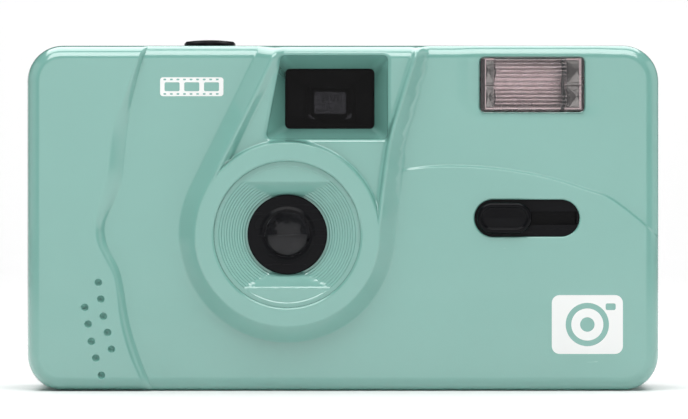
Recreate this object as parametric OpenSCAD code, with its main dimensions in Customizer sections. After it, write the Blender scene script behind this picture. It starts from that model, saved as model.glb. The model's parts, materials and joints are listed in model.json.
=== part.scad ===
// Reusable 35 mm film camera with a fixed lens, a built-in flash and a hinged back.
// Millimetres. The lens faces -Y, the back door faces +Y, +Z is up and Z = 0 is the base.

/* [Body] */
// Width of the body
body_w = 114; // [114:0.5:116]
// Height of the body without the shutter button
body_h = 62.3; // [62.3:0.1:63]
// Radius of the four corners of the front outline
corner_r = 6.5; // [6:0.1:7]
// Wall thickness of the moulded covers
wall = 1.4; // [1.2:0.05:1.4]
// Rounding along the front and back edges
edge_r = 2.6; // [2:0.1:2.8]

/* [Depth, measured from the film side to the lens side] */
// Plane of the front face
face_y = -14; // [-14:0.1:-13.9]
// Top of the ring around the lens
ring_y = -17.5; // [-17.6:0.1:-17.2]
// Outer face of the back door
back_y = 15.5; // [15.5:0.1:15.6]
// Plane of the film gate
film_y = 12; // [12:0.05:12.05]
// Rearmost face of the eyepiece rim
eyepiece_y = 17.5; // [17:0.1:18]

/* [Lens] */
// Lens axis, left of the middle
lens_x = -10; // [-10.2:0.1:-9.8]
// Lens axis, height above the base
lens_z = 28.2; // [28:0.1:28.4]
// Outer radius of the flat ring around the lens
ring_r = 16.3; // [16:0.1:16.5]
// Radius of the sloping flank where it meets the face
flank_r = 19.4; // [19:0.1:20]
// Outer radius of the ridged cone inside the ring
cone_r = 13.1; // [13:0.05:13.2]
// Radius of the black plate around the lens
retainer_r = 7.15; // [7:0.05:7.2]
// Radius of the clear hole in that plate
lens_hole_r = 4.05; // [3.9:0.05:4.1]

/* [Film] */
// Width of the picture on the film
gate_w = 36; // [35.5:0.1:36]
// Height of the picture on the film
gate_h = 24; // [23.5:0.1:24]
// Height of the film strip
film_h = 35; // [34.9:0.1:35]
// Axis of the cassette chamber
cassette_x = 24; // [24:0.05:24.1]
// Inner radius of the cassette chamber
cassette_r = 12.8; // [12.7:0.05:12.8]
// Radius at which the film lies on the spool and the sprocket
drum_r = 6.05; // [6:0.01:6.06]
// Teeth on the film sprocket
sprocket_teeth = 8; // [8]
// Teeth around the thumb wheel
wheel_teeth = 48; // [40:1:60]

/* [Controls] */
// Travel of the shutter button
button_travel = 1.6; // [1.4:0.1:1.6]
// Height of the shutter button above the top
button_rise = 1.45; // [1.2:0.05:1.5]
// Travel of the flash switch
switch_travel = 8.4; // [8:0.1:8.4]

/* [Hidden] */

$fn = 48;
MINT = [0.62, 0.83, 0.78];
BLACK = [0.10, 0.10, 0.11];
STEEL = [0.70, 0.71, 0.73];
far = 200;

half_w = body_w / 2;
inner_front = face_y + wall;
inner_side = half_w - wall;
part_y = film_y;                    // front and rear covers meet here
door_in = back_y - wall;            // inner face of the back door
top_in = body_h - wall;             // underside of the top wall

// Back door and its surround
door_z = [3.5, 47];
door_right = 52.8;
hinge = [-55.2, back_y - 1.7];
hinge_low = corner_r + 0.1;         // the barrel stands above the rounded corner
hinge_notch = -52.7;                // the plate is notched up to here below the barrel
barrel_r = 1.7;
pin_r = 0.7;
fit = 0.05;                         // radial running clearance of pins and shafts
hook_z = [14, 34];                  // lower ends of the two door hooks
hook_h = 4;

// Chassis levels
deck_low = [4.8, 6];
deck_high = [49.5, 50.3];
plate_t = 1.6;                      // thickness of the plate that holds the film gate
plate_top = 46.2;
spool = [-43.6, 3.4];
spool_r = 11;                       // inner radius of the take-up chamber
cassette = [cassette_x, 1.1];
thin = 0.8;                         // thin walls inside the body

// Shutter
shutter_y = [-10.6, -10.3];
pivot = [-21.1, 30.6];
tail = 3.3;                         // lever arm of the blade's tail

// Top controls
button = [-24.4, -0.5];
button_r = 4.7;
sprocket = [-24.5, film_y - drum_r + 0.05];
perf_z = lens_z + film_h / 2 - 3.4; // middle height of the film's upper holes
dial = [-35.2, 3.4];
dial_r = 6.6;
wheel_r = 11.9;
wheel_z = [50.8, 55.6];

// Viewfinder
finder_view = [-10.45, 47.35, 5.7, 58.2];
pocket_y = -9;

// Flash
flash = [24.7, 50.3, 43.5, 60.1];
slot_c = [33.15, 31.15];
slot_size = [18.9, 6.66];

// Battery, size AAA
battery = [45.1, 6];
battery_r = 5.35;
bat_door_x = [39.9, 50.5];

// Rewind crank in its recess
recess_r = 10.6;
recess_h = 3.4;
crank_hinge = [cassette_x - 3.2, 0.95];

screw_r = 0.95;
posts = [[-26, 10], [6, 10], [8.6, 42.6]];

// ---------- Helpers ----------

// Extrudes an outline drawn in X and Z from y0 back to y1.
module slab(y0, y1) {
    translate([0, y1, 0]) rotate([90, 0, 0]) linear_extrude(y1 - y0) children();
}

// Turns a profile of radius and Y about an axis along Y at [x, z].
module turned(at) {
    translate([at[0], 0, at[1]]) rotate([-90, 0, 0]) rotate_extrude() children();
}

module rod_y(at, r, y0, y1) {
    translate([at[0], y0, at[1]]) rotate([-90, 0, 0]) cylinder(r = r, h = y1 - y0);
}

module rod_z(at, r, z0, z1) {
    translate([at[0], at[1], z0]) cylinder(r = r, h = z1 - z0);
}

module block(x0, y0, z0, x1, y1, z1) {
    translate([x0, y0, z0]) cube([x1 - x0, y1 - y0, z1 - z0]);
}

// Outline with true round corners, from [x0, z0] to [x1, z1].
module round_rect(x0, z0, x1, z1, r) {
    translate([x0 + r, z0]) square([x1 - x0 - 2 * r, z1 - z0]);
    translate([x0, z0 + r]) square([x1 - x0, z1 - z0 - 2 * r]);
    for (x = [x0 + r, x1 - r], z = [z0 + r, z1 - r]) translate([x, z]) circle(r);
}

// Profile of a disc from y0 to y1 whose edge is rounded by e at y0.
function rounded_edge(r, y0, y1, e) = concat(
    [[0, y1], [0, y0]],
    [for (i = [0 : 6]) [r - e + e * sin(15 * i), y0 + e - e * cos(15 * i)]],
    [[r, y1]]);

// Rounded body block, set in from the outline, with its rounded face at y0.
module body_block(inset, y0, y1, e) {
    dx = half_w - corner_r;
    hull()
        for (x = [-dx, dx], z = [corner_r, body_h - corner_r])
            translate([x, 0, z]) rotate([-90, 0, 0])
                rotate_extrude($fn = 32) polygon(rounded_edge(corner_r - inset, y0, y1, e));
}

// The same block with its rounded face towards the back.
module back_block(inset, y0, y1, e) {
    mirror([0, 1, 0]) body_block(inset, -y1, -y0, e);
}

// Points along a coil about Z.
function coil_point(r, z0, z1, turns, t) =
    [r * cos(360 * turns * t), r * sin(360 * turns * t), z0 + (z1 - z0) * t];

// Coil spring about Z, its wire swept as one closed tube with six sides.
module coil(r, wire, z0, z1, turns) {
    steps = turns * 14;
    sides = 6;
    points = [
        for (i = [0 : steps], j = [0 : sides - 1])
            let (
                p = coil_point(r, z0 + wire, z1 - wire, turns, i / steps),
                a = 360 * turns * i / steps,
                b = 360 * j / sides)
            p + wire * [cos(a) * cos(b), sin(a) * cos(b), sin(b)]
    ];
    faces = concat(
        [[for (j = [sides - 1 : -1 : 0]) j]],
        [for (i = [0 : steps - 1], j = [0 : sides - 1])
            let (k = (j + 1) % sides)
            [i * sides + k, (i + 1) * sides + k, (i + 1) * sides + j, i * sides + j]],
        [[for (j = [0 : sides - 1]) steps * sides + j]]);
    polyhedron(points, faces);
}

// ---------- Covers ----------

// Boundary of the raised grip at the left, from the top down to the base.
grip_line = [
    [-35.9, 60.6], [-38, 54.5], [-40.3, 47], [-41.2, 38.5], [-42.7, 33.9], [-43.9, 30],
    [-43.4, 26.2], [-41.3, 22.7], [-40.4, 19.8], [-39.3, 12.2], [-37.5, 6.2], [-35.4, 1.8]
];

module grip_outline() {
    intersection() {
        round_rect(2.2 - half_w, 2.2, 0, body_h - 2.2, 4.3);
        polygon(concat([[-far, body_h], [-35.9, body_h]], grip_line, [[-35.4, 0], [-far, 0]]));
    }
}

// Pear-shaped boss around the lens, which runs up to the top edge.
module boss() {
    hull() {
        slab(face_y - 0.1, face_y + 0.1) {
            polygon([[-27.2, 37.4], [-16, 59.7], [15, 59.7], [10, 33.3]]);
            translate([lens_x, lens_z]) circle(flank_r);
        }
        slab(ring_y, ring_y + 0.1) {
            polygon([[-23, 38.6], [-13.1, 58.6], [12.9, 58.6], [6.7, 29.1]]);
            translate([lens_x, lens_z]) circle(ring_r);
        }
    }
}

// Recess in the boss above the lens ring, between its two ridges.
module throat_outline() {
    difference() {
        polygon([[-23, 38.6], [-13.1, body_h - wall], [12.9, body_h - wall], [10, 49.8],
                 [8.4, 44], [6.7, 29.1]]);
        translate([lens_x, lens_z]) circle(ring_r);
    }
}

module pocket_outline(grow) {
    polygon([[-10.9 - grow, 61 + min(grow, 0)], [-13.6 - grow, 45.5 - grow],
             [8.3 + grow, 45.5 - grow], [8.3 + grow, 61 + min(grow, 0)]]);
}

// Pieces moulded on the inside of the front cover.
module cover_insides() {
    slab(face_y, pocket_y + 1.2) pocket_outline(1.2);
    rod_z(cassette, recess_r + 1, 0, recess_h + 1);
    block(49.9, -10.6, 50, half_w - 0.6, 1.6, 59.6);
    for (p = posts) rod_y(p, 2.1, inner_front - 0.2, film_y - plate_t - 0.1);
    rod_z(dial, 1, 56, top_in + 0.2);
    for (x = [-50, 8]) rod_z([x, -9.6], 2, wall - 0.2, deck_low[0] - 0.05);
}

module front_cover() {
    color(MINT) difference() {
        union() {
            difference() {
                union() {
                    body_block(0, face_y, part_y, edge_r);
                    slab(face_y - 1, face_y + 0.2) grip_outline();
                    boss();
                }
                body_block(wall, inner_front, far, 1.2);
            }
            intersection() {
                body_block(0.1, face_y, part_y, edge_r);
                cover_insides();
            }
        }
        slab(ring_y - 1, face_y - 1.2) throat_outline();
        slab(ring_y - 1, pocket_y) pocket_outline(0);
        slab(pocket_y - 1, 0)
            round_rect(finder_view[0], finder_view[1], finder_view[2], finder_view[3], 0.8);
        rod_y([lens_x, lens_z], cone_r, ring_y - 1, face_y + 0.4);
        rod_y([lens_x, lens_z], 8, ring_y, inner_front + 1);
        slab(face_y - 1, inner_front + 1) round_rect(flash[0], flash[1], flash[2], flash[3], 0.9);
        slab(face_y - 1, inner_front + 1) slot_outline(0);
        rod_z(button, button_r + 0.3, top_in - 1, body_h + 1);
        block(-45.2, 1, top_in - 1, -39.4, 5.8, body_h + 1);
        rod_z(cassette, recess_r, -1, recess_h);
        rod_z(cassette, 2.6, -1, recess_h + 2);
        rod_z([-27, 2], 2.25, -1, wall + 1);
        block(bat_door_x[0] - 0.2, battery[1] - 5.6, -1, bat_door_x[1] + 1.6, battery[1] + 5.6, 2.6);
        block(51, -9.5, 51, half_w + 1, 0.5, 58.6);
        rod_z([half_w - 1.6, -4.5], 0.72, 50.2, 59.4);
        block(inner_side - 0.5, 5.4, 21.8, half_w + 1, 10.6, 34.8);
        for (p = posts) rod_y(p, screw_r + 0.05, 2, film_y);
        for (x = [-50, 8]) {
            rod_z([x, -9.6], screw_r + 0.15, -1, 7);
            rod_z([x, -9.6], 1.9, -1, 0.9);
        }
        // the hinge side stays open for the swing of the door
        block(-far, part_y - 0.6, hinge_low - 0.2, -53, far, door_z[1] + 0.3);
    }
}

// Stadium of the switch slot, grown by g.
module slot_outline(g) {
    r = slot_size[1] / 2 + g;
    half = (slot_size[0] - slot_size[1]) / 2;
    translate([slot_c[0] - half, slot_c[1] - r]) square([2 * half, 2 * r]);
    for (s = [-1, 1]) translate([slot_c[0] + s * half, slot_c[1]]) circle(r);
}

module rear_cover() {
    color(MINT) difference() {
        union() {
            difference() {
                back_block(0, part_y, back_y, edge_r);
                difference() {
                    back_block(wall, part_y - 1, door_in, 0.8);
                    block(door_right + 0.3, 0, 0, inner_side + 1, far, body_h);
                }
                // opening of the back door
                block(-far, 0, hinge_low - 0.2, door_right + 0.3, far, door_z[1] + 0.3);
                block(hinge_notch - 0.9, 0, door_z[0] - 0.2, door_right + 0.3, far, hinge_low);
            }
            // floor and rim of the thumb recess
            difference() {
                block(-55.6, part_y, door_z[1] + 0.3, -31.4, back_y - 0.4, 58.8);
                block(-54.6, part_y + 0.9, 48.3, -32.4, far, 57.8);
            }
            // blocks that hold the ends of the hinge pin
            intersection() {
                back_block(0, part_y, back_y, edge_r);
                block(-half_w, part_y, 0, hinge_notch - 0.9, back_y, hinge_low - 0.2);
            }
            rod_z(hinge, barrel_r, door_z[1] + 0.3, 51);
            block(-17.6, part_y, 51, -12.6, door_in, 57);
            block(44, part_y, 51, 49, door_in, 57);
        }
        block(-54.6, part_y + 0.9, 48.3, -32.4, far, 57.8);
        block(spool[0] - 8.6, 0, wheel_z[0] - 0.4, spool[0] + 8.6, far, wheel_z[1] + 0.4);
        slab(0, far) round_rect(-7.4, 48.6, 2.6, 56.2, 1);
        rod_y([12, 52.4], 1.55, 0, far);
        rod_z(hinge, pin_r + 0.02, 3.4, 49.6);
        for (x = [-15.1, 46.5]) {
            rod_y([x, 54], screw_r + 0.15, 0, far);
            rod_y([x, 54], 2, back_y - 1, far);
        }
    }
}

module back_door() {
    color(MINT) difference() {
        union() {
            intersection() {
                back_block(0, part_y, back_y, edge_r);
                block(hinge[0], door_in, hinge_low, door_right, far, door_z[1]);
            }
            intersection() {
                back_block(0, part_y, back_y, edge_r);
                block(hinge_notch, door_in, door_z[0], door_right, far, hinge_low + 1);
            }
            rod_z(hinge, barrel_r, hinge_low, door_z[1]);
            // light-trap ribs along the top and bottom
            for (z = [door_z[0] + 0.6, door_z[1] - 1.6])
                block(-50, 13, z, 50.6, door_in + 0.1, z + 1);
            for (z = hook_z) {
                block(51.4, 9.5, z, 52, door_in + 0.1, z + hook_h);
                block(51.4, 9.5, z, 52.85, 10.6, z + hook_h);
            }
            for (x = [-26, 6]) rod_y([x, lens_z], 1, 13.3, door_in + 0.1);
        }
        rod_z(hinge, pin_r + fit, 0, far);
        // shallow step pressed into the outer face for the fingers
        slab(back_y - 0.4, far) round_rect(44.6, 17, 50.6, 35, 2.4);
    }
}

module hinge_pin() {
    color(STEEL) rod_z(hinge, pin_r, 3.5, 49.5);
}

module door_latch() {
    color(BLACK) difference() {
        union() {
            block(54.2, 5.8, 11, 55.3, 11.6, 40);
            for (z = hook_z) block(52.2, 10.85, z - 0.4, 54.3, 11.6, z + hook_h + 0.2);
            intersection() {
                block(55.2, 5.8, 22.2, 56.8, 10.2, 29.8);
                slab(0, far) round_rect(50, 22.2, 56.8, 29.8, 1);
            }
        }
        // finger ridges across the slide
        for (i = [0 : 3]) block(56.4, 5, 23.9 + 1.4 * i, far, far, 24.5 + 1.4 * i);
    }
}

module latch_spring() {
    color(STEEL) translate([54.75, 8.7, 0]) coil(0.42, 0.1, 40.1, 46, 9);
}

// ---------- Chassis ----------

// Plan of a film chamber: round at the front, open towards the door.
module chamber_plan(c, r) {
    translate(c) difference() {
        union() {
            circle(r + thin);
            translate([-r - thin, 0]) square([2 * (r + thin), film_y - c[1]]);
        }
        circle(r);
        translate([-r, 0]) square([2 * r, far]);
    }
}

module tunnel(grow) {
    hull() {
        slab(film_y - 0.6, film_y - 0.5)
            translate([lens_x, lens_z]) square([gate_w + 2 * grow, gate_h + 2 * grow], center = true);
        slab(-9.5, -9.4)
            translate([lens_x, lens_z]) square(8.4 + 2 * grow, center = true);
    }
}

module chassis_walls() {
    translate([0, 0, deck_low[0]]) linear_extrude(deck_high[1] - deck_low[0]) {
        chamber_plan(cassette, cassette_r);
        chamber_plan(spool, spool_r);
    }
    slab(film_y - plate_t, film_y)
        translate([spool[0] + spool_r, deck_low[0]])
            square([cassette[0] - cassette_r - spool[0] - spool_r, plate_top - deck_low[0]]);
    // front board that carries the lens holder
    slab(-12.4, -11.2) translate([-34, 8]) square([46, 35]);
    tunnel(thin);
    slab(-9.5, -8.7) translate([lens_x, lens_z]) square(16, center = true);
    // side cheeks tie the front board to the film plate
    for (z = [deck_low[0], 43]) block(-33, -12.3, z, 11, film_y - 0.1, z + 1);
    block(-34, -12.3, deck_low[0], -33.2, -6, 44);
    block(11.2, -12.3, deck_low[0], 12, -5, 44);
    // decks above and below the chambers
    rod_z(cassette, cassette_r + 0.4, deck_low[0], deck_low[1]);
    rod_z(cassette, cassette_r + 0.4, deck_high[0], deck_high[1]);
    rod_z(spool, spool_r + 0.4, deck_low[0], deck_low[1]);
    rod_z(spool, spool_r + 0.4, deck_high[0], deck_high[1]);
    for (c = [cassette, spool], z = [deck_low[0], deck_high[0]])
        block(c[0] - spool_r - 0.4, c[1], z, c[0] + spool_r + 0.4, film_y, z + 0.8);
    block(-33, -7.6, deck_high[0], -13.4, film_y, deck_high[1]);
    block(-31.9, film_y - plate_t, plate_top - 1, -14, film_y, deck_high[1]);
    block(-53.4, -11, deck_low[0], -30, 0, deck_low[1]);
    // film rails beside the gate
    slab(film_y - 0.1, film_y + 0.25) {
        translate([-31, 9.4]) square([42, 1]);
        translate([-31, 14.4]) square([42, 1.1]);
        translate([-17.6, 40.9]) square([28.6, 1]);
    }
    // bearings of the sprocket
    rod_z(sprocket, 3, deck_high[0], 53);
    block(sprocket[0] - 2.4, 3.6, 39, sprocket[0] + 2.4, film_y - 0.8, 40.7);
    // bearing of the shutter blade
    rod_y(pivot, 0.8, -11.3, shutter_y[1] + 0.3);
    // post of the advance pawl
    rod_z([-31.4, -7.2], 1.1, deck_high[0] - 0.1, 53.8);
    block(-33, -9, deck_high[0], -29.6, -5, deck_high[1]);
    // pads behind the two case screws at the back
    rod_y([-15.1, 54], 2.2, 4, film_y - 0.2);
    block(-17.3, 4, deck_high[0], -12.9, film_y - 0.2, 54);
    rod_y([46.5, 54], 2.2, 4, film_y - 0.2);
    block(30, 4, deck_high[0], 48.7, 6, deck_high[1] + 0.6);
    block(44.3, 4, deck_high[0], 48.7, film_y - 0.2, 54);
}

module chassis() {
    color(BLACK) difference() {
        chassis_walls();
        tunnel(0);
        slab(film_y - 3, far)
            translate([lens_x, lens_z]) square([gate_w, gate_h], center = true);
        slab(-9.8, 0) translate([lens_x, lens_z]) circle(3.9);
        rod_y([lens_x, lens_z], 3.4, -13, -11);
        // keep both chambers clear
        for (c = [[cassette, cassette_r], [spool, spool_r]]) {
            rod_z(c[0], c[1], deck_low[1], deck_high[0]);
            block(c[0][0] - c[1], c[0][1], deck_low[1], c[0][0] + c[1], far, deck_high[0]);
        }
        // window for the sprocket and slot for the blade's drive arm
        rod_z(sprocket, 7.3, perf_z - 1.6, perf_z + 3.2);
        rod_z(sprocket, 1.5 + fit, 41, far);
        rod_z(sprocket, 1 + fit, 38, 42);
        block(-26.4, -11.2, 30, -22.4, -8.2, far);
        rod_z(spool, 3 + fit, 40, far);
        rod_z(spool, 2 + fit, 0, 10);
        rod_z(cassette, 2.5 + fit, 0, 10);
        rod_z([-27, 2], 1 + fit, 0, 10);
        for (p = posts) {
            rod_y(p, 2.3, -20, film_y - plate_t);
            rod_y(p, screw_r + 0.15, 0, far);
            rod_y(p, 1.95, film_y - 0.9, far);
        }
        for (x = [-15.1, 46.5]) rod_y([x, 54], screw_r + 0.05, 0, far);
        for (x = [-50, 8]) rod_z([x, -9.6], screw_r + 0.05, 0, 10);
        // the viewfinder passes between the decks
        block(-13.4, -13, 44, 8.6, film_y + 1, far);
        // the lower deck stands clear of the crank recess, and the rest of the covers and door
        rod_z(cassette, recess_r + 1.2, 0, recess_h + 1.05);
        block(-far, film_y + 0.26, -1, far, far, far);
        for (x = [[-far, -31.5], [11.1, far]]) block(x[0], film_y, -1, x[1], far, far);
        block(-far, -far, 0, -55.15, far, 6.8);
        slab(-20, inner_front + 0.35) slot_outline(0.7);
    }
}

// ---------- Lens and shutter ----------

cone_steps = 11;
cone_front = ring_y + 0.3;
cone_back = ring_y + 2.6;

// The cone falls towards the lens in fine steps.
function cone_profile() = concat(
    [for (i = [0 : cone_steps - 1], k = [0, 1])
        let (
            slope = i / cone_steps,
            next = (i + 1) / cone_steps)
        [cone_r - 0.3 + (retainer_r - cone_r + 0.4) * (k == 0 ? slope : next),
         cone_front + (cone_back - cone_front) * slope]]);

module lens_cone() {
    color(MINT) turned([lens_x, lens_z]) polygon(concat(
        [[cone_r - 0.05, face_y + 0.3], [cone_r - 0.05, cone_front]],
        cone_profile(),
        [[retainer_r + 0.1, face_y + 0.1], [retainer_r + 0.9, face_y + 0.1],
         [retainer_r + 0.9, cone_back + 0.5], [cone_r - 1.2, cone_front + 1.2],
         [cone_r - 1.2, face_y + 0.3]]));
}

module lens_retainer() {
    color(BLACK) turned([lens_x, lens_z]) polygon([
        [lens_hole_r, -14.1], [lens_hole_r, -15.1], [lens_hole_r + 0.5, -15.2],
        [lens_hole_r + 1, -14.9], [retainer_r - 0.2, -14.9], [retainer_r, -14.7],
        [retainer_r, -14.1]]);
}

module lens_holder() {
    color(BLACK) turned([lens_x, lens_z]) polygon([
        [3.4, -12.4], [3.4, -12.9], [4.45, -12.9], [4.45, -14.1], [retainer_r - 0.1, -14.1],
        [retainer_r - 0.1, -12.4]]);
}

// Single meniscus, curved the same way on both sides.
module front_lens() {
    r = 4.35;
    bow = [for (i = [0 : 8]) i / 8];
    color([0.75, 0.85, 0.9, 0.5]) turned([lens_x, lens_z]) polygon(concat(
        [for (t = bow) [t * 3.9, -14.75 + 0.55 * t * t]],
        [[4, -14.05], [r, -14.05], [r, -12.95]],
        [for (i = [7 : -1 : 0]) [bow[i] * 3.4, -13.25 + 0.3 * bow[i] * bow[i]]]));
}

module aperture_plate() {
    color(BLACK) difference() {
        rod_y([lens_x, lens_z], 6.2, -11.15, -10.9);
        rod_y([lens_x, lens_z], 1.5, -12, -10);
    }
}

module shutter_blade() {
    y = shutter_y;
    color([0.2, 0.2, 0.21]) difference() {
        union() {
            rod_y([lens_x, lens_z], 3.3, y[0], y[1]);
            rod_y(pivot, 1.7, y[0], y[1]);
            slab(y[0], y[1])
                polygon([[pivot[0] + 1, pivot[1] + 1.2], [lens_x, lens_z + 2.4],
                         [lens_x, lens_z - 2], [pivot[0] + 1, pivot[1] - 1.2]]);
            block(pivot[0] - tail - 0.6, y[0], pivot[1] - 0.6, pivot[0] - 1, y[1], pivot[1] + 0.6);
            rod_y([pivot[0] - tail - 0.6, pivot[1]], 0.6, y[0], y[1]);
        }
        rod_y(pivot, 0.8 + fit, -far, far);
    }
}

// Flat coil and two legs that close the blade again.
module shutter_spring() {
    color(STEEL) slab(-10.95, -10.7) {
        difference() {
            translate(pivot) circle(1.5);
            translate(pivot) circle(0.95);
        }
        translate([pivot[0] - 0.5, pivot[1] - 4.5]) square([0.3, 3.4]);
        translate([pivot[0] + 0.9, pivot[1] + 0.6]) rotate(35) square([3.6, 0.3]);
    }
}

// Button cap with its guide stem and the arm that tips the shutter blade.
module shutter_button() {
    top = body_h + button_rise;
    color(BLACK) {
        translate([button[0], button[1], 0]) rotate_extrude() polygon(concat(
            [[0, 59.6], [button_r, 59.6], [button_r, top - 0.7]],
            [for (i = [0 : 6]) let (t = 1 - i / 6) [(button_r - 0.35) * t, top - 0.3 * t * t]]));
        intersection() {
            rod_z(button, 5.7, 59.4, 60.7);
            translate([button[0] - 4.2, -far, 0]) cube([8.4, 2 * far, far]);
        }
        rod_z(button, 1.5, 53.4, 60);
        block(button[0] - 0.9, -10.9, 59.2, button[0] + 0.9, button[1] - 3, 60.7);
        block(button[0] - 0.9, -10.9, 34, button[0] + 0.9, -9.3, 60.7);
        block(pivot[0] - tail - 0.9, -10.7, 31.5, pivot[0] - tail + 0.1, -9.6, 34.1);
    }
}

module button_spring() {
    color(STEEL) translate([button[0], button[1], 0]) coil(2.5, 0.22, deck_high[1] + 0.02, 59.3, 6);
}

// ---------- Viewfinder ----------

module finder_window() {
    v = finder_view;
    color([0.35, 0.4, 0.42, 0.6]) difference() {
        slab(pocket_y - 0.1, pocket_y + 1.1)
            round_rect(v[0] + 0.1, v[1] + 0.1, v[2] - 0.1, v[3] - 0.1, 0.7);
        // hollow rear face of the reversed telescope's front lens
        translate([(v[0] + v[2]) / 2, pocket_y + 13.5, (v[1] + v[3]) / 2]) sphere(r = 13.2);
    }
}

module finder_housing() {
    color(BLACK) difference() {
        block(-11.6, -7.7, 46.5, 6.8, door_in - 0.1, 58.9);
        hull() {
            block(-10, -8, 47.8, 5.2, -7.5, 57.8);
            block(-7.2, 12.4, 48.8, 2.4, 12.6, 56);
        }
        block(-7.2, 12, 48.8, 2.4, far, 56);
    }
}

module eyepiece_lens() {
    color([0.75, 0.85, 0.9, 0.5]) intersection() {
        block(-7.1, 12.6, 48.9, 2.3, 14, 55.9);
        translate([-2.4, -10, 52.4]) sphere(r = 23.8, $fn = 200);
    }
}

module eyepiece_rim() {
    color(BLACK) difference() {
        union() {
            slab(door_in + 0.1, back_y) round_rect(-7.3, 48.7, 2.5, 56.1, 0.9);
            slab(back_y, eyepiece_y) round_rect(-9.6, 46.9 + 0.7, 4.8, 57.8, 2);
        }
        hull() {
            slab(door_in, door_in + 0.1) round_rect(-6.3, 49.7, 1.5, 55.1, 0.5);
            slab(eyepiece_y, eyepiece_y + 0.1) round_rect(-8, 49, 3.2, 55.8, 1.5);
        }
    }
}

// ---------- Flash ----------

module flash_diffuser() {
    f = flash;
    color([0.9, 0.9, 0.95, 0.5]) difference() {
        slab(face_y + 0.1, inner_front)
            round_rect(f[0] + 0.1, f[1] + 0.1, f[2] - 0.1, f[3] - 0.1, 0.8);
        // fine ribs on the inner face
        for (i = [0 : 7])
            block(f[0] + 1.6, inner_front - 0.25, f[1] + 1 + 1.05 * i,
                  f[2] - 1.6, inner_front + 1, f[1] + 1.45 + 1.05 * i);
    }
}

reflector_z = (flash[1] + 0.6 + flash[3] - 0.3) / 2;
reflector_half = 4.3;

// Section of the trough behind the tube: half height at depth t from 0 to 1.
function trough(t, grow) = (reflector_half + grow) * sqrt(1 - t * t);

module trough_section(grow) {
    depth = 8 + grow;
    y0 = inner_front + 0.15;
    polygon(concat(
        [for (i = [0 : 9]) let (t = sin(9.9 * i)) [y0 + depth * t, reflector_z - trough(t, grow)]],
        [for (i = [9 : -1 : 0]) let (t = sin(9.9 * i)) [y0 + depth * t, reflector_z + trough(t, grow)]]));
}

// Trough and its end plates, bent from one bright sheet.
module flash_reflector() {
    x = [flash[0] + 0.7, flash[2] - 0.5];
    color([0.85, 0.86, 0.88]) difference() {
        translate([x[0], 0, 0]) rotate([90, 0, 90]) linear_extrude(x[1] - x[0]) trough_section(0.3);
        translate([x[0] + 0.4, 0, 0]) rotate([90, 0, 90])
            linear_extrude(x[1] - x[0] - 0.8) trough_section(0);
        translate([0, inner_front + 4.4, reflector_z]) rotate([0, 90, 0])
            cylinder(r = 1.5, h = far);
    }
}

module flash_tube() {
    y = inner_front + 4.4;
    color([0.95, 0.9, 0.88, 0.6]) translate([flash[0] - 0.5, y, reflector_z]) rotate([0, 90, 0])
        cylinder(r = 1.4, h = flash[2] - flash[0] + 1);
}

module flash_board() {
    color([0.15, 0.35, 0.2]) difference() {
        slab(-11.2, -10.2) translate([38.3, 8]) square([15.6, 40]);
        for (z = [10.5, 45.4]) rod_y([41, z], 0.8, -12, -9);
    }
}

module flash_capacitor() {
    color([0.12, 0.12, 0.16]) {
        rod_z([46.4, -5.5], 4.3, 10, 34);
        for (s = [-1, 1]) block(46.1 + 1.5 * s, -10.2, 35.2, 46.6 + 1.5 * s, -5.3, 35.7);
        for (s = [-1, 1]) block(46.1 + 1.5 * s, -5.8, 33.9, 46.6 + 1.5 * s, -5.3, 35.7);
    }
}

module flash_transformer() {
    color([0.55, 0.4, 0.15]) {
        block(42.2, -10.2, 38, 50.2, -9.4, 46);
        rod_y([46.2, 42], 3.2, -9.5, -4.5);
        block(42.2, -4.5, 38, 50.2, -3.7, 46);
    }
}

module ready_lamp() {
    color([0.85, 0.25, 0.15, 0.8]) {
        rod_y([12, 52.4], 1.5, door_in - 1.5, back_y - 0.2);
        translate([12, back_y - 1.1, 52.4]) intersection() {
            sphere(r = 1.5);
            rod_y([0, 0], 2, 0.2, 3);
        }
    }
}

// Plate inside the slot, with a closed channel behind it for the knob's contact foot.
module switch_plate() {
    color(BLACK) difference() {
        union() {
            slab(face_y + 0.6, inner_front) slot_outline(-0.08);
            slab(inner_front, inner_front + 0.25) slot_outline(0.5);
            block(29.9, inner_front, slot_c[1] - 2.4, 42.7, -11.2, slot_c[1] + 2.4);
        }
        block(30.3, -far, slot_c[1] - 1.2, 42.1, inner_front + 0.5, slot_c[1] + 1.2);
        block(30.25, inner_front + 0.25, slot_c[1] - 2, 42.35, -11.55, slot_c[1] + 2);
    }
}

// Pill-shaped knob on a stem, with the contact foot behind the plate.
module flash_switch() {
    x0 = slot_c[0] - slot_size[0] / 2 + 0.4;
    r = 2.8;
    color(BLACK) {
        slab(face_y - 0.9, face_y + 0.5) {
            translate([x0 + r, slot_c[1] - r]) square([9.9 - 2 * r, 2 * r]);
            for (x = [x0 + r, x0 + 9.9 - r]) translate([x, slot_c[1]]) circle(r);
        }
        block(30.6, face_y + 0.4, slot_c[1] - 1, 33.3, inner_front + 0.4, slot_c[1] + 1);
        block(30.6, inner_front + 0.35, slot_c[1] - 1.8, 33.3, inner_front + 0.9, slot_c[1] + 1.8);
    }
}

// ---------- Battery ----------

module battery_holder() {
    b = battery;
    color(BLACK) difference() {
        block(b[0] - 6, b[1] - 6, 2.8, b[0] + 6, film_y - 0.2, 49);
        rod_z(b, battery_r, 0, 48);
    }
}

module battery_top_contact() {
    color(STEEL) rod_z(battery, 4, 47.4, 47.95);
}

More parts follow.
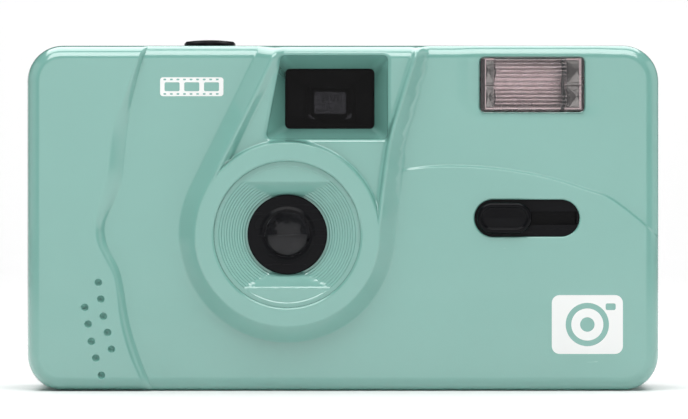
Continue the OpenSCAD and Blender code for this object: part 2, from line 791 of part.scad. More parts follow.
// Flap in the base; its barrel turns on a pin at the side of the bay.
module battery_door() {
    b = battery;
    color(MINT) difference() {
        union() {
            block(bat_door_x[0], b[1] - 5.4, 0.2, bat_door_x[1], b[1] + 5.4, wall);
            translate([bat_door_x[1] + 0.5, b[1] - 5.4, 1]) rotate([-90, 0, 0])
                cylinder(r = 0.8, h = 10.8);
            block(bat_door_x[1] - 1, b[1] - 5.4, 0.4, bat_door_x[1] + 0.5, b[1] + 5.4, wall);
        }
        translate([bat_door_x[1] + 0.5, b[1] - 10, 1]) rotate([-90, 0, 0])
            cylinder(r = 0.4 + fit, h = 20);
        // grip ridges
        for (i = [0 : 3])
            block(bat_door_x[0] + 1.1 + i, b[1] - 3, -1, bat_door_x[0] + 1.6 + i, b[1] + 3, 0.5);
    }
}

module battery_door_pin() {
    color(STEEL) translate([bat_door_x[1] + 0.5, battery[1] - 5.6, 1]) rotate([-90, 0, 0])
        cylinder(r = 0.4, h = 11.2);
}

module battery_spring() {
    color(STEEL) translate([battery[0], battery[1], 0]) {
        translate([0, 0, wall]) cylinder(r = 3.6, h = 0.25);
        coil(2.8, 0.25, wall + 0.2, 6, 3);
    }
}

// ---------- Film transport ----------

module advance_wheel() {
    color(BLACK) difference() {
        union() {
            rod_z(spool, wheel_r - 0.7, wheel_z[0], wheel_z[1]);
            translate([spool[0], spool[1], wheel_z[0] + 0.4])
                linear_extrude(wheel_z[1] - wheel_z[0] - 0.8)
                    for (i = [0 : wheel_teeth - 1]) rotate(360 * i / wheel_teeth)
                        translate([wheel_r - 1.2, -0.35]) square([1.2, 0.7]);
        }
        rod_z(spool, wheel_r - 3, wheel_z[1] - 1.2, far);
        rod_z(spool, 2, 0, far);
    }
}

module takeup_spool() {
    color(BLACK) difference() {
        union() {
            rod_z(spool, drum_r, deck_low[1] + 0.4, deck_high[0] - 0.4);
            rod_z(spool, 2, deck_low[0] + 0.1, deck_low[1] + 0.5);
            rod_z(spool, 3, deck_high[0] - 0.5, wheel_z[0]);
            rod_z(spool, 1.95, wheel_z[0] - 0.5, wheel_z[1] - 0.6);
        }
        // slots that catch the end of the film
        for (a = [20, 140, 260])
            translate([spool[0], spool[1], 13]) rotate(a)
                translate([drum_r - 3, -0.6, 0]) cube([4, 1.2, 30]);
        rod_z(spool, 1.2, 0, 44);
    }
}

pawl_post = [-31.4, -7.2];
// Where the pawl's tip stands beside the wheel, as an angle about the wheel's axis
pawl_angle = -52;

module advance_pawl() {
    tip = [spool[0] + (wheel_r + 0.2) * cos(pawl_angle), spool[1] + (wheel_r + 0.2) * sin(pawl_angle)];
    color([0.85, 0.85, 0.8]) translate([0, 0, 52]) linear_extrude(1.6) difference() {
        union() {
            translate(pawl_post) circle(2);
            polygon([pawl_post + [0, 1.6], tip, tip + [0.3, -1.6], pawl_post + [0, -1.7]]);
        }
        translate(pawl_post) circle(1.1 + fit);
    }
}

// Leaf that presses the pawl towards the wheel.
module pawl_spring() {
    color(STEEL) translate([0, 0, 52.2]) linear_extrude(1.2) {
        translate([-36.6, -11.9]) square([8, 0.25]);
        translate([-36.6, -11.9]) rotate(62) square([2.4, 0.25]);
    }
}

module film_sprocket() {
    color([0.85, 0.85, 0.8]) {
        rod_z(sprocket, drum_r - 0.1, perf_z - 1.4, perf_z + 2.9);
        translate([sprocket[0], sprocket[1], perf_z - 1])
            for (i = [0 : sprocket_teeth - 1]) rotate(360 * (i + 0.5) / sprocket_teeth)
                translate([drum_r - 0.6, -0.75, 0]) cube([1.5, 1.5, 2]);
        rod_z(sprocket, 1, 39.1, perf_z);
        rod_z(sprocket, 1.5, perf_z, 57.3);
        // one finger moves the counter on by a tooth at each turn
        translate([sprocket[0], sprocket[1], 56.3]) rotate(140) {
            cylinder(r = 2.6, h = 1);
            translate([0, -0.4, 0]) cube([4.4, 0.8, 1]);
        }
    }
}

module counter_disc() {
    teeth = 40;
    color([0.93, 0.93, 0.9]) difference() {
        union() {
            rod_z(dial, dial_r, 58, 58.8);
            rod_z(dial, 2.4, 56.3, 58.1);
            translate([dial[0], dial[1], 56.3]) linear_extrude(1) {
                circle(5.9);
                for (i = [0 : teeth - 1]) rotate(360 * (i + 0.5) / teeth)
                    translate([5.5, -0.2]) square([0.85, 0.4]);
            }
        }
        rod_z(dial, 1 + fit, 0, far);
    }
}

module counter_window() {
    color([0.9, 0.93, 0.95, 0.5]) {
        block(-45.1, 1.1, top_in, -39.5, 5.7, body_h - 0.1);
        block(-45.6, 0.6, top_in - 0.6, -39, 6.2, top_in);
    }
}

module rewind_fork() {
    c = cassette_x;
    color(BLACK) difference() {
        union() {
            rod_z(cassette, 2.5, 1.2, 8);
            rod_z(cassette, 4.4, 1.6, recess_h - 0.1);
            // ears for the crank's pin
            for (s = [-1, 1])
                block(c - 4.2, cassette[1] + 2.45 * s - 0.45, 0.35,
                      c - 2.2, cassette[1] + 2.45 * s + 0.45, 1.7);
            block(c - 3.4, cassette[1] - 0.6, 7.9, c + 3.4, cassette[1] + 0.6, 9.4);
        }
        translate([crank_hinge[0], cassette[1] - 5, crank_hinge[1]]) rotate([-90, 0, 0])
            cylinder(r = 0.35 + fit, h = 10);
        // room for the root of the arm to turn
        translate([crank_hinge[0], cassette[1] - 1.95, crank_hinge[1]]) rotate([-90, 0, 0])
            cylinder(r = 1.15, h = 3.9);
    }
}

module crank_arm() {
    h = crank_hinge;
    y = cassette[1];
    color(BLACK) difference() {
        union() {
            translate([h[0], y - 1.8, h[1]]) rotate([-90, 0, 0]) cylinder(r = 0.75, h = 3.6);
            block(h[0], y - 1.8, 0.3, h[0] + 3, y + 1.8, 1.15);
            block(h[0] + 1.3, y - 2.6, 0.3, h[0] + 10.6, y + 2.6, 1.15);
            rod_z([h[0] + 10.4, y], 2.6, 0.3, 1.15);
            rod_z([h[0] + 10.2, y], 1.9, 1.1, 3.1);
        }
        translate([h[0], y - 5, h[1]]) rotate([-90, 0, 0]) cylinder(r = 0.35 + fit, h = 10);
    }
}

module crank_pin() {
    translate([crank_hinge[0], cassette[1] - 2.9, crank_hinge[1]]) rotate([-90, 0, 0])
        color(STEEL) cylinder(r = 0.35, h = 5.8);
}

module rewind_button() {
    color(BLACK) {
        rod_z([-27, 2], 2.05, 0.3, wall + 0.2);
        rod_z([-27, 2], 2.9, wall + 0.15, wall + 0.9);
        rod_z([-27, 2], 1, wall, 6.4);
    }
}

module rewind_spring() {
    color(STEEL) translate([-27, 2, 0]) coil(1.6, 0.2, wall + 0.92, deck_low[0] - 0.02, 3);
}

// ---------- Inside the back door ----------

module pressure_plate() {
    color([0.16, 0.16, 0.17]) difference() {
        slab(film_y + 0.35, 13.1) round_rect(-31, 10.8, 11, 45.4, 1);
        block(-40, 0, 40.4, -17, far, far);
        for (x = [-26, 6]) rod_y([x, lens_z], 1.3, 0, far);
    }
}

// Bowed leaf between the door and the plate.
module pressure_spring() {
    n = 10;
    bow = [for (i = [0 : n]) [-20 + 2 * i, door_in - 0.3 - 0.65 * sin(180 * i / n)]];
    color(STEEL) translate([0, 0, 25]) linear_extrude(6.4)
        polygon(concat(bow, [for (i = [n : -1 : 0]) bow[i] + [0, 0.25]]));
}

module cassette_spring() {
    color(STEEL) translate([0, 0, 20]) linear_extrude(16)
        polygon([[17, 14.05], [20, 13.72], [28, 13.72], [31, 14.05], [31, 13.85], [28, 13.55],
                 [20, 13.55], [17, 13.85]]);
}

// Foam strips that the edges of the door press on.
module light_seals() {
    color([0.08, 0.08, 0.08]) {
        for (z = [5, 45.7]) block(-30, film_y + 0.02, z, 10, film_y + 0.9, z + 0.6);
        block(36.9, film_y + 0.02, 8, 37.5, 13.9, 44);
    }
}

module strap_bar() {
    color(STEEL) rod_z([half_w - 1.6, -4.5], 0.7, 50.3, 59.3);
}

// ---------- Fasteners ----------

// Pan-head screw with a cross recess, its head's outer face at the origin, pointing +Z.
module screw(head_r, length) {
    difference() {
        union() {
            cylinder(r = head_r, h = 0.8);
            cylinder(r = screw_r, h = length);
        }
        for (a = [0, 90]) rotate(a) translate([-1, -0.2, -1]) cube([2, 0.4, 1.4]);
    }
}

module case_screws() {
    color(STEEL) {
        for (x = [-15.1, 46.5])
            translate([x, back_y - 0.15, 54]) rotate([90, 0, 0]) screw(1.85, 8);
        for (x = [-50, 8]) translate([x, -9.6, 0.1]) screw(1.8, 5.6);
    }
}

module chassis_screws() {
    color(STEEL)
        for (p = posts) translate([p[0], film_y - 0.05, p[1]]) rotate([90, 0, 0]) screw(1.85, 7);
}

front_cover();
rear_cover();
back_door();
hinge_pin();
door_latch();
latch_spring();
chassis();
lens_cone();
lens_retainer();
lens_holder();
front_lens();
aperture_plate();
shutter_blade();
shutter_spring();
shutter_button();
button_spring();
finder_window();
finder_housing();
eyepiece_lens();
eyepiece_rim();
flash_diffuser();
flash_reflector();
flash_tube();
flash_board();
flash_capacitor();
flash_transformer();
ready_lamp();
switch_plate();
flash_switch();
battery_holder();
battery_door();
battery_door_pin();
battery_top_contact();
battery_spring();
advance_wheel();
takeup_spool();
advance_pawl();
pawl_spring();
film_sprocket();
counter_disc();
counter_window();
rewind_fork();
crank_arm();
crank_pin();
rewind_button();
rewind_spring();
pressure_plate();
pressure_spring();
cassette_spring();
light_seals();
strap_bar();
case_screws();
chassis_screws();
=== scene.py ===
import json
import math

import bmesh
import bpy
import numpy as np
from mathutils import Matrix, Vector
from mathutils.geometry import delaunay_2d_cdt


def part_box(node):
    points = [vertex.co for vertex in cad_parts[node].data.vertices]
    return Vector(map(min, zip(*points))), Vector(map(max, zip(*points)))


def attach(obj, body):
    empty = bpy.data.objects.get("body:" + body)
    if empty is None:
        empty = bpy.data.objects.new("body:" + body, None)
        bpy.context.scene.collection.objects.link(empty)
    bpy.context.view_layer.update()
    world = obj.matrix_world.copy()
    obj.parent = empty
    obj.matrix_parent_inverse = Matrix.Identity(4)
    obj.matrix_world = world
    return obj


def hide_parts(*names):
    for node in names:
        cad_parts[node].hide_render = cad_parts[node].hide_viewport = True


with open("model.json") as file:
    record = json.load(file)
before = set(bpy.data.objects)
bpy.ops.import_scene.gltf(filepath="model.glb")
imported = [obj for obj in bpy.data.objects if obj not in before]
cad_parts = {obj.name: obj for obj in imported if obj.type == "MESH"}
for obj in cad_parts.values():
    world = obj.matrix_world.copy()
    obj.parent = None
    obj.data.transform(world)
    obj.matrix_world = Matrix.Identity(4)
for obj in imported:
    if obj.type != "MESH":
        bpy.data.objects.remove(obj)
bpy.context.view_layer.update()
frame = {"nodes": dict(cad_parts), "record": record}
MM = 0.001


def edges_of(node):
    """Lowest and highest corner of a CAD node, in millimetres."""
    low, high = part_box(node)
    return np.array(low) / MM, np.array(high) / MM


# ---- driving sizes, in mm
cover_low, cover_high = edges_of("front_cover")
lens_low, lens_high = edges_of("lens_retainer")
ring_low, ring_high = edges_of("lens_cone")
HALF_W = cover_high[0]
HEIGHT = cover_high[2]
PART_Y = cover_high[1]  # where the front and rear covers meet
RING_Y = cover_low[1]  # flat top of the ring around the lens
RING_RISE = 3.5
FACE_Y = RING_Y + RING_RISE
WALL = 1.4
CORNER_R = 6.5
EDGE_R = 2.6
LENS = np.array([(lens_low[0] + lens_high[0]) / 2, (lens_low[2] + lens_high[2]) / 2])
RING_R = 16.3
CONE_R = 13.1
RETAINER_R = (lens_high[0] - lens_low[0]) / 2
SOFT = 0.22  # half width of the rounding along a crease


# ---- small maths
def soft_step(t, w):
    """0 below zero, t above it, with a rounded corner of half width w."""
    mid = (t + w) ** 2 / (4 * w)
    return np.where(t <= -w, 0.0, np.where(t >= w, t, mid))


def ramp(t, t0, t1, w=SOFT):
    """Straight ramp from 0 at t0 to 1 at t1 with rounded corners."""
    return (soft_step(t - t0, w) - soft_step(t - t1, w)) / (t1 - t0)


def fillet_drop(d, r, beyond=0):
    """Drop of a round edge of radius r at the distance d inside it, and its slope beyond the edge."""
    inside_d = np.clip(d, 0, r)
    return r - np.sqrt(np.maximum(r * r - (r - inside_d) ** 2, 0)) + beyond * np.maximum(-d, 0)


def box_distance(x, z, box, r):
    """Signed distance to a rectangle with corners of radius r, negative inside."""
    cx, cz = (box[0] + box[2]) / 2, (box[1] + box[3]) / 2
    qx = np.abs(x - cx) - (box[2] - box[0]) / 2 + r
    qz = np.abs(z - cz) - (box[3] - box[1]) / 2 + r
    outside = np.hypot(np.maximum(qx, 0), np.maximum(qz, 0))
    return outside + np.minimum(np.maximum(qx, qz), 0) - r


def line_distance(x, z, line):
    """Unsigned distance from many points to a polyline."""
    best = np.full(np.shape(x), 1e9)
    for a, b in zip(line[:-1], line[1:]):
        d = b - a
        t = np.clip(((x - a[0]) * d[0] + (z - a[1]) * d[1]) / max(d @ d, 1e-12), 0, 1)
        best = np.minimum(best, np.hypot(x - a[0] - t * d[0], z - a[1] - t * d[1]))
    return best


def inside(x, z, loop):
    """Whether points lie inside a closed loop."""
    result = np.zeros(np.shape(x), bool)
    for a, b in zip(loop, np.roll(loop, -1, 0)):
        if a[1] == b[1]:
            continue
        crosses = (a[1] > z) != (b[1] > z)
        result ^= crosses & (x < (b[0] - a[0]) * (z - a[1]) / (b[1] - a[1]) + a[0])
    return result


def loop_distance(x, z, loop):
    """Signed distance to a closed loop, negative inside."""
    d = line_distance(x, z, close_up(loop))
    return np.where(inside(x, z, loop), -d, d)


def resample(points, step):
    """Points spaced evenly along a polyline, its ends kept."""
    points = np.asarray(points, float)
    length = np.concatenate([[0], np.cumsum(np.hypot(*np.diff(points, axis=0).T))])
    count = max(2, int(round(length[-1] / step)) + 1)
    at = np.linspace(0, length[-1], count)
    return np.column_stack([np.interp(at, length, points[:, k]) for k in (0, 1)])


def smooth_line(points, step):
    """Catmull-Rom curve through a few points, sampled evenly."""
    p = np.asarray(points, float)
    p = np.vstack([2 * p[0] - p[1], p, 2 * p[-1] - p[-2]])
    t = np.linspace(0, 1, 12, endpoint=False)[:, None]
    parts = []
    for a, b, c, d in zip(p[:-3], p[1:-2], p[2:-1], p[3:]):
        parts.append(0.5 * (2 * b + (c - a) * t + (2 * a - 5 * b + 4 * c - d) * t ** 2
                            + (3 * b - a - 3 * c + d) * t ** 3))
    return resample(np.vstack(parts + [p[-2:-1]]), step)


def offset_line(line, d):
    """The polyline moved sideways by d, to the left of its direction."""
    t = np.gradient(line, axis=0)
    t /= np.maximum(np.hypot(t[:, 0], t[:, 1])[:, None], 1e-9)
    return line + d * np.column_stack([-t[:, 1], t[:, 0]])


def arc(c, r, a):
    """Points around c at the angles a."""
    return np.column_stack([c[0] + r * np.cos(a), c[1] + r * np.sin(a)])


def circle(c, r, count):
    return arc(c, r, np.linspace(0, 2 * math.pi, count, endpoint=False))


def close_up(loop):
    """The loop with its first point repeated at the end."""
    return np.vstack([loop, loop[:1]])


def grown(box, d):
    return box[0] - d, box[1] - d, box[2] + d, box[3] + d


def joined(arcs, step):
    """Closed loop of arcs and the straight stretches between them."""
    loop = []
    for here, following in zip(arcs, arcs[1:] + arcs[:1]):
        loop += [here, resample(np.vstack([here[-1], following[0]]), step)[1:-1]]
    return np.vstack(loop)


def rounded_box(box, r, side_step, corner_count):
    """Rectangle with round corners, as one anticlockwise loop."""
    x0, z0, x1, z1 = box
    spots = [(x1 - r, z0 + r), (x1 - r, z1 - r), (x0 + r, z1 - r), (x0 + r, z0 + r)]
    return joined([arc(spot, r, np.radians(np.linspace(90 * k - 90, 90 * k, corner_count + 1)))
                   for k, spot in enumerate(spots)], side_step)


# ---- mesh building
def facing_out(verts, faces):
    """The faces, each listed so that it faces out of the piece."""
    mesh = bpy.data.meshes.new("draft")
    mesh.from_pydata(verts.tolist(), [], [list(map(int, f)) for f in faces])
    draft = bmesh.new()
    draft.from_mesh(mesh)
    bmesh.ops.recalc_face_normals(draft, faces=draft.faces[:])
    turned = [np.array([v.index for v in f.verts]) for f in draft.faces]
    draft.free()
    bpy.data.meshes.remove(mesh)
    return turned


def area_normal(p):
    """Sum of the cross products over a polygon's triangles."""
    return sum(np.cross(p[i] - p[0], p[i + 1] - p[0]) for i in range(1, len(p) - 1))


def new_object(name, data):
    obj = bpy.data.objects.new(name, data)
    bpy.context.scene.collection.objects.link(obj)
    return obj


class Shape:
    """Faces in millimetres, with corner normals where a formula gives them."""

    def __init__(self):
        self.faces = []
        self.normals = []

    def add(self, corners, normal=None):
        self.faces.append(corners)
        self.normals.append(normal)

    def sheet(self, outer, holes, lines, spacing, place, normal=None):
        """Fills a flat outline with triangles that follow the given lines, and places them in space."""
        loops = [outer] + list(holes)
        points, edges = [], []
        for part, closed in [(p, True) for p in loops] + [(p, False) for p in lines]:
            start = len(points)
            points += [tuple(q) for q in part]
            count = len(part)
            edges += [(start + i, start + (i + 1) % count) for i in range(count - (not closed))]
        low, high = np.min(outer, 0), np.max(outer, 0)
        if spacing:
            gx, gz = np.meshgrid(np.arange(low[0] + spacing / 2, high[0], spacing),
                                 np.arange(low[1] + spacing / 2, high[1], spacing))
            gx[1::2] += spacing / 2
            grid = np.column_stack([gx.ravel(), gz.ravel()])
            cells = {}
            for p in points:
                cells.setdefault((int(p[0] // spacing), int(p[1] // spacing)), []).append(p)
            for g in grid:
                i, j = int(g[0] // spacing), int(g[1] // spacing)
                near = [p for a in (-1, 0, 1) for b in (-1, 0, 1) for p in cells.get((i + a, j + b), ())]
                if all((p[0] - g[0]) ** 2 + (p[1] - g[1]) ** 2 > (0.55 * spacing) ** 2 for p in near):
                    points.append(tuple(g))
        found = delaunay_2d_cdt([Vector(p) for p in points], edges, [], 0, 1e-5, False)
        flat = np.array([tuple(v) for v in found[0]])
        tris = np.array([f for f in found[2] if len(f) == 3])
        middle = flat[tris].mean(1)
        keep = inside(middle[:, 0], middle[:, 1], outer)
        for hole in holes:
            keep &= ~inside(middle[:, 0], middle[:, 1], hole)
        a, b, c = (flat[tris[:, k]] for k in (0, 1, 2))
        area = (b[:, 0] - a[:, 0]) * (c[:, 1] - a[:, 1]) - (b[:, 1] - a[:, 1]) * (c[:, 0] - a[:, 0])
        tris = tris[keep & (np.abs(area) > 1e-7)]
        space = place(flat[:, 0], flat[:, 1])
        bends = normal(flat[:, 0], flat[:, 1]) if normal else None
        for t in tris:
            self.add(space[t], bends[t] if normal else None)

    def loft(self, loops, closed=True):
        """Quads between loops that have the same number of points."""
        for low, high in zip(loops[:-1], loops[1:]):
            count = len(low)
            for i in range(count if closed else count - 1):
                j = (i + 1) % count
                self.add(np.array([low[i], low[j], high[j], high[i]]))

    def build(self, name, smooth_angle=32):
        """One welded mesh object, in metres, with a normal for every corner."""
        counts = [len(f) for f in self.faces]
        points = np.vstack(self.faces)
        keys = np.round(points / 2e-4).astype(np.int64)
        _, first, index = np.unique(keys, axis=0, return_index=True, return_inverse=True)
        index = index.ravel()
        verts = points[first]
        starts = np.concatenate([[0], np.cumsum(counts)])
        faces, given = [], []
        for k in range(len(counts)):
            ids = index[starts[k]:starts[k + 1]]
            keep = [i for i in range(len(ids)) if ids[i] != ids[i - 1]]
            if len(keep) < 3 or len(set(ids[keep])) < len(keep):
                continue
            ids = ids[keep]
            if np.linalg.norm(area_normal(verts[ids])) < 1e-9:
                continue
            faces.append(ids)
            given.append({} if self.normals[k] is None else dict(zip(ids, self.normals[k][keep])))
        faces = facing_out(verts, faces)
        normals = [area_normal(verts[ids]) for ids in faces]
        around = {}
        for k, ids in enumerate(faces):
            for v in ids:
                around.setdefault(v, []).append(k)
        unit = [n / np.linalg.norm(n) for n in normals]
        limit = math.cos(math.radians(smooth_angle))
        corner = []
        for k, ids in enumerate(faces):
            for v in ids:
                if v in given[k]:
                    corner.append(given[k][v])
                    continue
                total = sum(normals[m] for m in around[v] if unit[m] @ unit[k] > limit)
                corner.append(total / np.linalg.norm(total))
        mesh = bpy.data.meshes.new(name)
        mesh.from_pydata((verts * MM).tolist(), [], [list(map(int, f)) for f in faces])
        mesh.polygons.foreach_set("use_smooth", [True] * len(mesh.polygons))
        mesh.normals_split_custom_set([tuple(n) for n in corner])
        mesh.update()
        return new_object(name, mesh)


def at_y(loop, y):
    """A loop of X and Z at one depth, or at one depth for each point."""
    return np.column_stack([loop[:, 0], np.broadcast_to(y, len(loop)), loop[:, 1]])


def wall_at(y):
    """Placing function for a flat sheet at one depth."""
    return lambda x, z: np.column_stack([x, np.full_like(x, y), z])


# ---- front cover, as a relief
OUTLINE = (-HALF_W, 0, HALF_W, HEIGHT)
FINDER = edges_of("finder_window")
FLASH = edges_of("flash_diffuser")
SWITCH = edges_of("flash_switch")
BUTTON = edges_of("shutter_button")
GAP = 0.1  # clearance round a window
FLASH_R, FINDER_R, SLOT_R = 0.9, 0.8, 3.33  # corners of the openings
SLOT_LENGTH = 18.5
flash_hole = grown((FLASH[0][0], FLASH[0][2], FLASH[1][0], FLASH[1][2]), GAP)
finder_hole = grown((FINDER[0][0], FINDER[0][2], FINDER[1][0], FINDER[1][2]), GAP)
finder_y = FINDER[0][1] + 0.1
switch_z = (SWITCH[0][2] + SWITCH[1][2]) / 2
switch_hole = (SWITCH[0][0] - 0.4, switch_z - SLOT_R, SWITCH[0][0] + SLOT_LENGTH, switch_z + SLOT_R)

# Left edge of the pear-shaped boss is a line tangent to the ring, right edge a long curve.
tangent = math.radians(154)
ridge_left = np.vstack([arc(LENS, RING_R, [tangent]), [-10.4, 64.4]])
ridge_right = smooth_line([[6.3, 28.2], [6.75, 32.5], [8.3, 44], [10.0, 50.5], [12.9, 59.8], [14.3, 64.4]],
                          0.6)
ridge_arc = arc(LENS, RING_R, np.linspace(tangent, 2 * math.pi, 110))
pear = np.vstack([resample(ridge_left[::-1], 0.6)[:-1], ridge_arc, ridge_right[1:]])

# Boundaries of the grip: crest on its side, foot on the face's side.
grip_foot = smooth_line([[-34.3, 64], [-35.35, 61.5], [-36.65, 57.5], [-38.4, 50], [-39.3, 43],
                         [-39.9, 37.6], [-41.4, 33.6], [-42.8, 30], [-42.5, 26.4], [-40.6, 22.6],
                         [-39.7, 19.6], [-38.4, 12.2], [-36.6, 6.2], [-34.3, 0.5], [-33.6, -1]], 0.5)
grip_crest = smooth_line([[-35.2, 64], [-36.4, 61.2], [-38.9, 54.3], [-41.9, 46.9], [-42.8, 40],
                          [-43.6, 36], [-44.4, 31.8], [-44.5, 27.4], [-42.7, 23.4], [-41.1, 19.9],
                          [-40.1, 12.2], [-38.4, 6.2], [-35.7, 0.5], [-35, -1]], 0.5)
GRIP_RISE = 1.25
GRIP_CURVE = 1.8  # power of its rounding

crease = smooth_line([[9.8, 39.6], [12, 40.2], [17.9, 40.75], [26.9, 40.4], [36.5, 38.8], [44.3, 36.4],
                      [48.6, 34.7], [55.1, 29.6], [58, 26.6]], 0.7)
CREASE_DEPTH = 0.42
CREASE_WIDTH = 0.45
CREASE_SOFT = 0.08
dish = (20.2, 48.9, 48.9, 72)  # shallow hollow round the flash
DISH_R = 5
DISH_DEPTH = 0.35
DISH_SLOPE = 2.8

# The finder's pocket is a funnel from this rim to the window.
pocket_corners = np.array([[-13.8, 45.4], [8.0, 45.4], [8.0, 60.4], [-11.0, 60.4]])

dimples = [(-43.96, 19.6), (-43.5, 16.6), (-43.06, 13.5), (-42.3, 10.6), (-41.6, 7.6),
           (-46.4, 15.1), (-45.8, 12.1), (-45.2, 9.0), (-44.4, 6.0), (-43.4, 2.9)]
DIMPLE_R = 0.68
DIMPLE_DEPTH = 0.95

CREST_FALL, CREST_Z = 1.25, (40, 61)  # how much lower the boss gets towards its top, between which heights
FLOOR_LOW, FLOOR_HIGH = 2.3, 1.5  # floor of the throat above the face, beside and above the ring
FLOOR_Z = (30, 44.5)
STEP_LEFT, STEP_RIGHT = 1.2, 0.5  # width of the slope from the boss's crest to that floor
LEAST_STEP = 0.8
FLANK = 2.9  # width of the slope around the boss
FLANK_TRIM, TRIM_Z = 1.1, (32, 60)  # how much narrower it is at the upper right
RING_SIDE = 0.5  # width of the ring's outer slope
BLEND = 3  # rounding of slow changes along the height

# Printed marks: a lens pictogram at the lower right, a strip of film at the upper left.
BADGE = (37.6, 6.7, 50.4, 17.3)
BADGE_C = ((BADGE[0] + BADGE[2]) / 2, (BADGE[1] + BADGE[3]) / 2)
BADGE_RINGS = (3.9, 2.9, 1.3)
BADGE_WINDOW = (47.3, 14.6, 49.1, 15.8)
STRIP = (-32.9, 53.1, -21.5, 56.5)
STRIP_FRAMES = [(x, 54.0, x + 2.7, 55.6) for x in (-32.1, -28.55, -25.0)]
STRIP_HOLES = [(x, z, x + 0.5, z + 0.3) for x in np.arange(-32.3, -22, 1.18) for z in (53.35, 55.95)]
BADGE_R, WINDOW_R, STRIP_R, FRAME_R, PERFORATION_R = 1.4, 0.3, 0.5, 0.25, 0.08
PRINT_LOOPS = ([rounded_box(BADGE, BADGE_R, 1.0, 6), rounded_box(BADGE_WINDOW, WINDOW_R, 1.0, 3),
                rounded_box(STRIP, STRIP_R, 1.0, 4)]
               + [circle(BADGE_C, r, 48) for r in BADGE_RINGS]
               + [rounded_box(b, FRAME_R, 1.0, 3) for b in STRIP_FRAMES]
               + [rounded_box(b, PERFORATION_R, 1.0, 1) for b in STRIP_HOLES])


def printed(x, z):
    """Where the front carries white print."""
    r = np.hypot(x - BADGE_C[0], z - BADGE_C[1])
    outer, inner, dot = BADGE_RINGS
    badge = (box_distance(x, z, BADGE, BADGE_R) < 0) & (box_distance(x, z, BADGE_WINDOW, WINDOW_R) > 0)
    badge &= (r > outer) | ((r < inner) & (r > dot))
    strip = box_distance(x, z, STRIP, STRIP_R) < 0
    for boxes, corner in ((STRIP_FRAMES, FRAME_R), (STRIP_HOLES, PERFORATION_R)):
        for b in boxes:
            strip &= box_distance(x, z, b, corner) > 0
    return badge | strip


def rounded_polygon(corners, r, step=0.45, count=6):
    """Closed loop with an arc at each corner."""
    parts = []
    for p, q, s in zip(np.roll(corners, 1, 0), corners, np.roll(corners, -1, 0)):
        u, v = (p - q) / np.linalg.norm(p - q), (s - q) / np.linalg.norm(s - q)
        half = math.acos(np.clip(u @ v, -1, 1)) / 2
        a, b = q + u * r / math.tan(half), q + v * r / math.tan(half)
        c = q + (u + v) / np.linalg.norm(u + v) * r / math.sin(half)
        a0, a1 = math.atan2(*(a - c)[::-1]), math.atan2(*(b - c)[::-1])
        a1 = a0 + (a1 - a0 + math.pi) % (2 * math.pi) - math.pi
        parts.append(arc(c, r, np.linspace(a0, a1, count + 1)))
    return joined(parts, step)


POCKET_R = 0.9
pocket_rim = rounded_polygon(pocket_corners, POCKET_R)
POCKET_EDGE = 0.8
HOLE_EDGE = 0.35
RING_EDGE = 0.55  # rounding of the inner edge of the ring


def relief(x, z):
    """Height of the front above its main face, before the outer edge is rounded."""
    r = np.hypot(x - LENS[0], z - LENS[1])
    crest = RING_RISE - CREST_FALL * ramp(z, *CREST_Z, BLEND)
    edge = loop_distance(x, z, pear)
    slim = FLANK_TRIM * ramp(z, *TRIM_Z, BLEND) * (x > 0)
    outer = crest * (1 - ramp(edge - SOFT, 0, FLANK - slim))
    step_in = np.where(x > LENS[0] + 10, STEP_RIGHT, STEP_LEFT)
    floor = FLOOR_LOW + (FLOOR_HIGH - FLOOR_LOW) * ramp(z, *FLOOR_Z, BLEND)
    floor = np.minimum(floor, crest - LEAST_STEP)
    side = floor + (crest - floor) * (1 - ramp(-edge - SOFT, 0, step_in))
    ring = floor + (RING_RISE - floor) * (1 - ramp(r - SOFT, RING_R, RING_R + RING_SIDE))
    inner = np.where(r < RING_R + 1, np.maximum(side, ring), side)
    boss = np.where(edge < 0, inner, outer)

    foot = np.interp(z, grip_foot[::-1, 1], grip_foot[::-1, 0])
    top = np.interp(z, grip_crest[::-1, 1], grip_crest[::-1, 0])
    along = np.clip((x - top) / (foot - top), 0, 1)
    grip = GRIP_RISE * (1 - along ** GRIP_CURVE)

    below = np.interp(x, crease[:, 0], crease[:, 1])
    shelf = -CREASE_DEPTH * ramp(z - below, -CREASE_WIDTH, 0, CREASE_SOFT) * ramp(x, 10, 14, 1)
    hollow = DISH_DEPTH * (1 - ramp(box_distance(x, z, dish, DISH_R), -DISH_SLOPE, 0.0, 0.7))
    height = np.maximum(boss, grip) + np.where(x > 8, shelf * (1 - np.clip(boss / 1.5, 0, 1)), 0) - hollow
    for cx, cz in dimples:
        q = np.hypot(x - cx, z - cz)
        height = height - DIMPLE_DEPTH * soft_step(1 - (q / DIMPLE_R) ** 2, 0.12)
    return height


def front_y(x, z, beyond=0):
    """Depth of the front surface."""
    d = -box_distance(x, z, OUTLINE, CORNER_R)
    drop = fillet_drop(d, EDGE_R, beyond)
    share = 1 - np.minimum(drop / EDGE_R, 1)
    y = FACE_Y + drop - relief(x, z) * share
    y = y + fillet_drop(box_distance(x, z, flash_hole, FLASH_R), HOLE_EDGE, beyond)
    y = y + fillet_drop(box_distance(x, z, switch_hole, SLOT_R), HOLE_EDGE, beyond)
    y = y + fillet_drop(np.hypot(x - LENS[0], z - LENS[1]) - CONE_R, RING_EDGE, beyond)
    return y + fillet_drop(loop_distance(x, z, pocket_rim), POCKET_EDGE, beyond)


def front_place(x, z):
    return np.column_stack([x, front_y(x, z), z])


def front_normal(x, z):
    """Normals of the front, from the slopes of its depth."""
    h, beyond = 0.004, 12
    gx = (front_y(x + h, z, beyond) - front_y(x - h, z, beyond)) / (2 * h)
    gz = (front_y(x, z + h, beyond) - front_y(x, z - h, beyond)) / (2 * h)
    n = np.column_stack([gx, -np.ones_like(gx), gz])
    return n / np.linalg.norm(n, axis=1)[:, None]


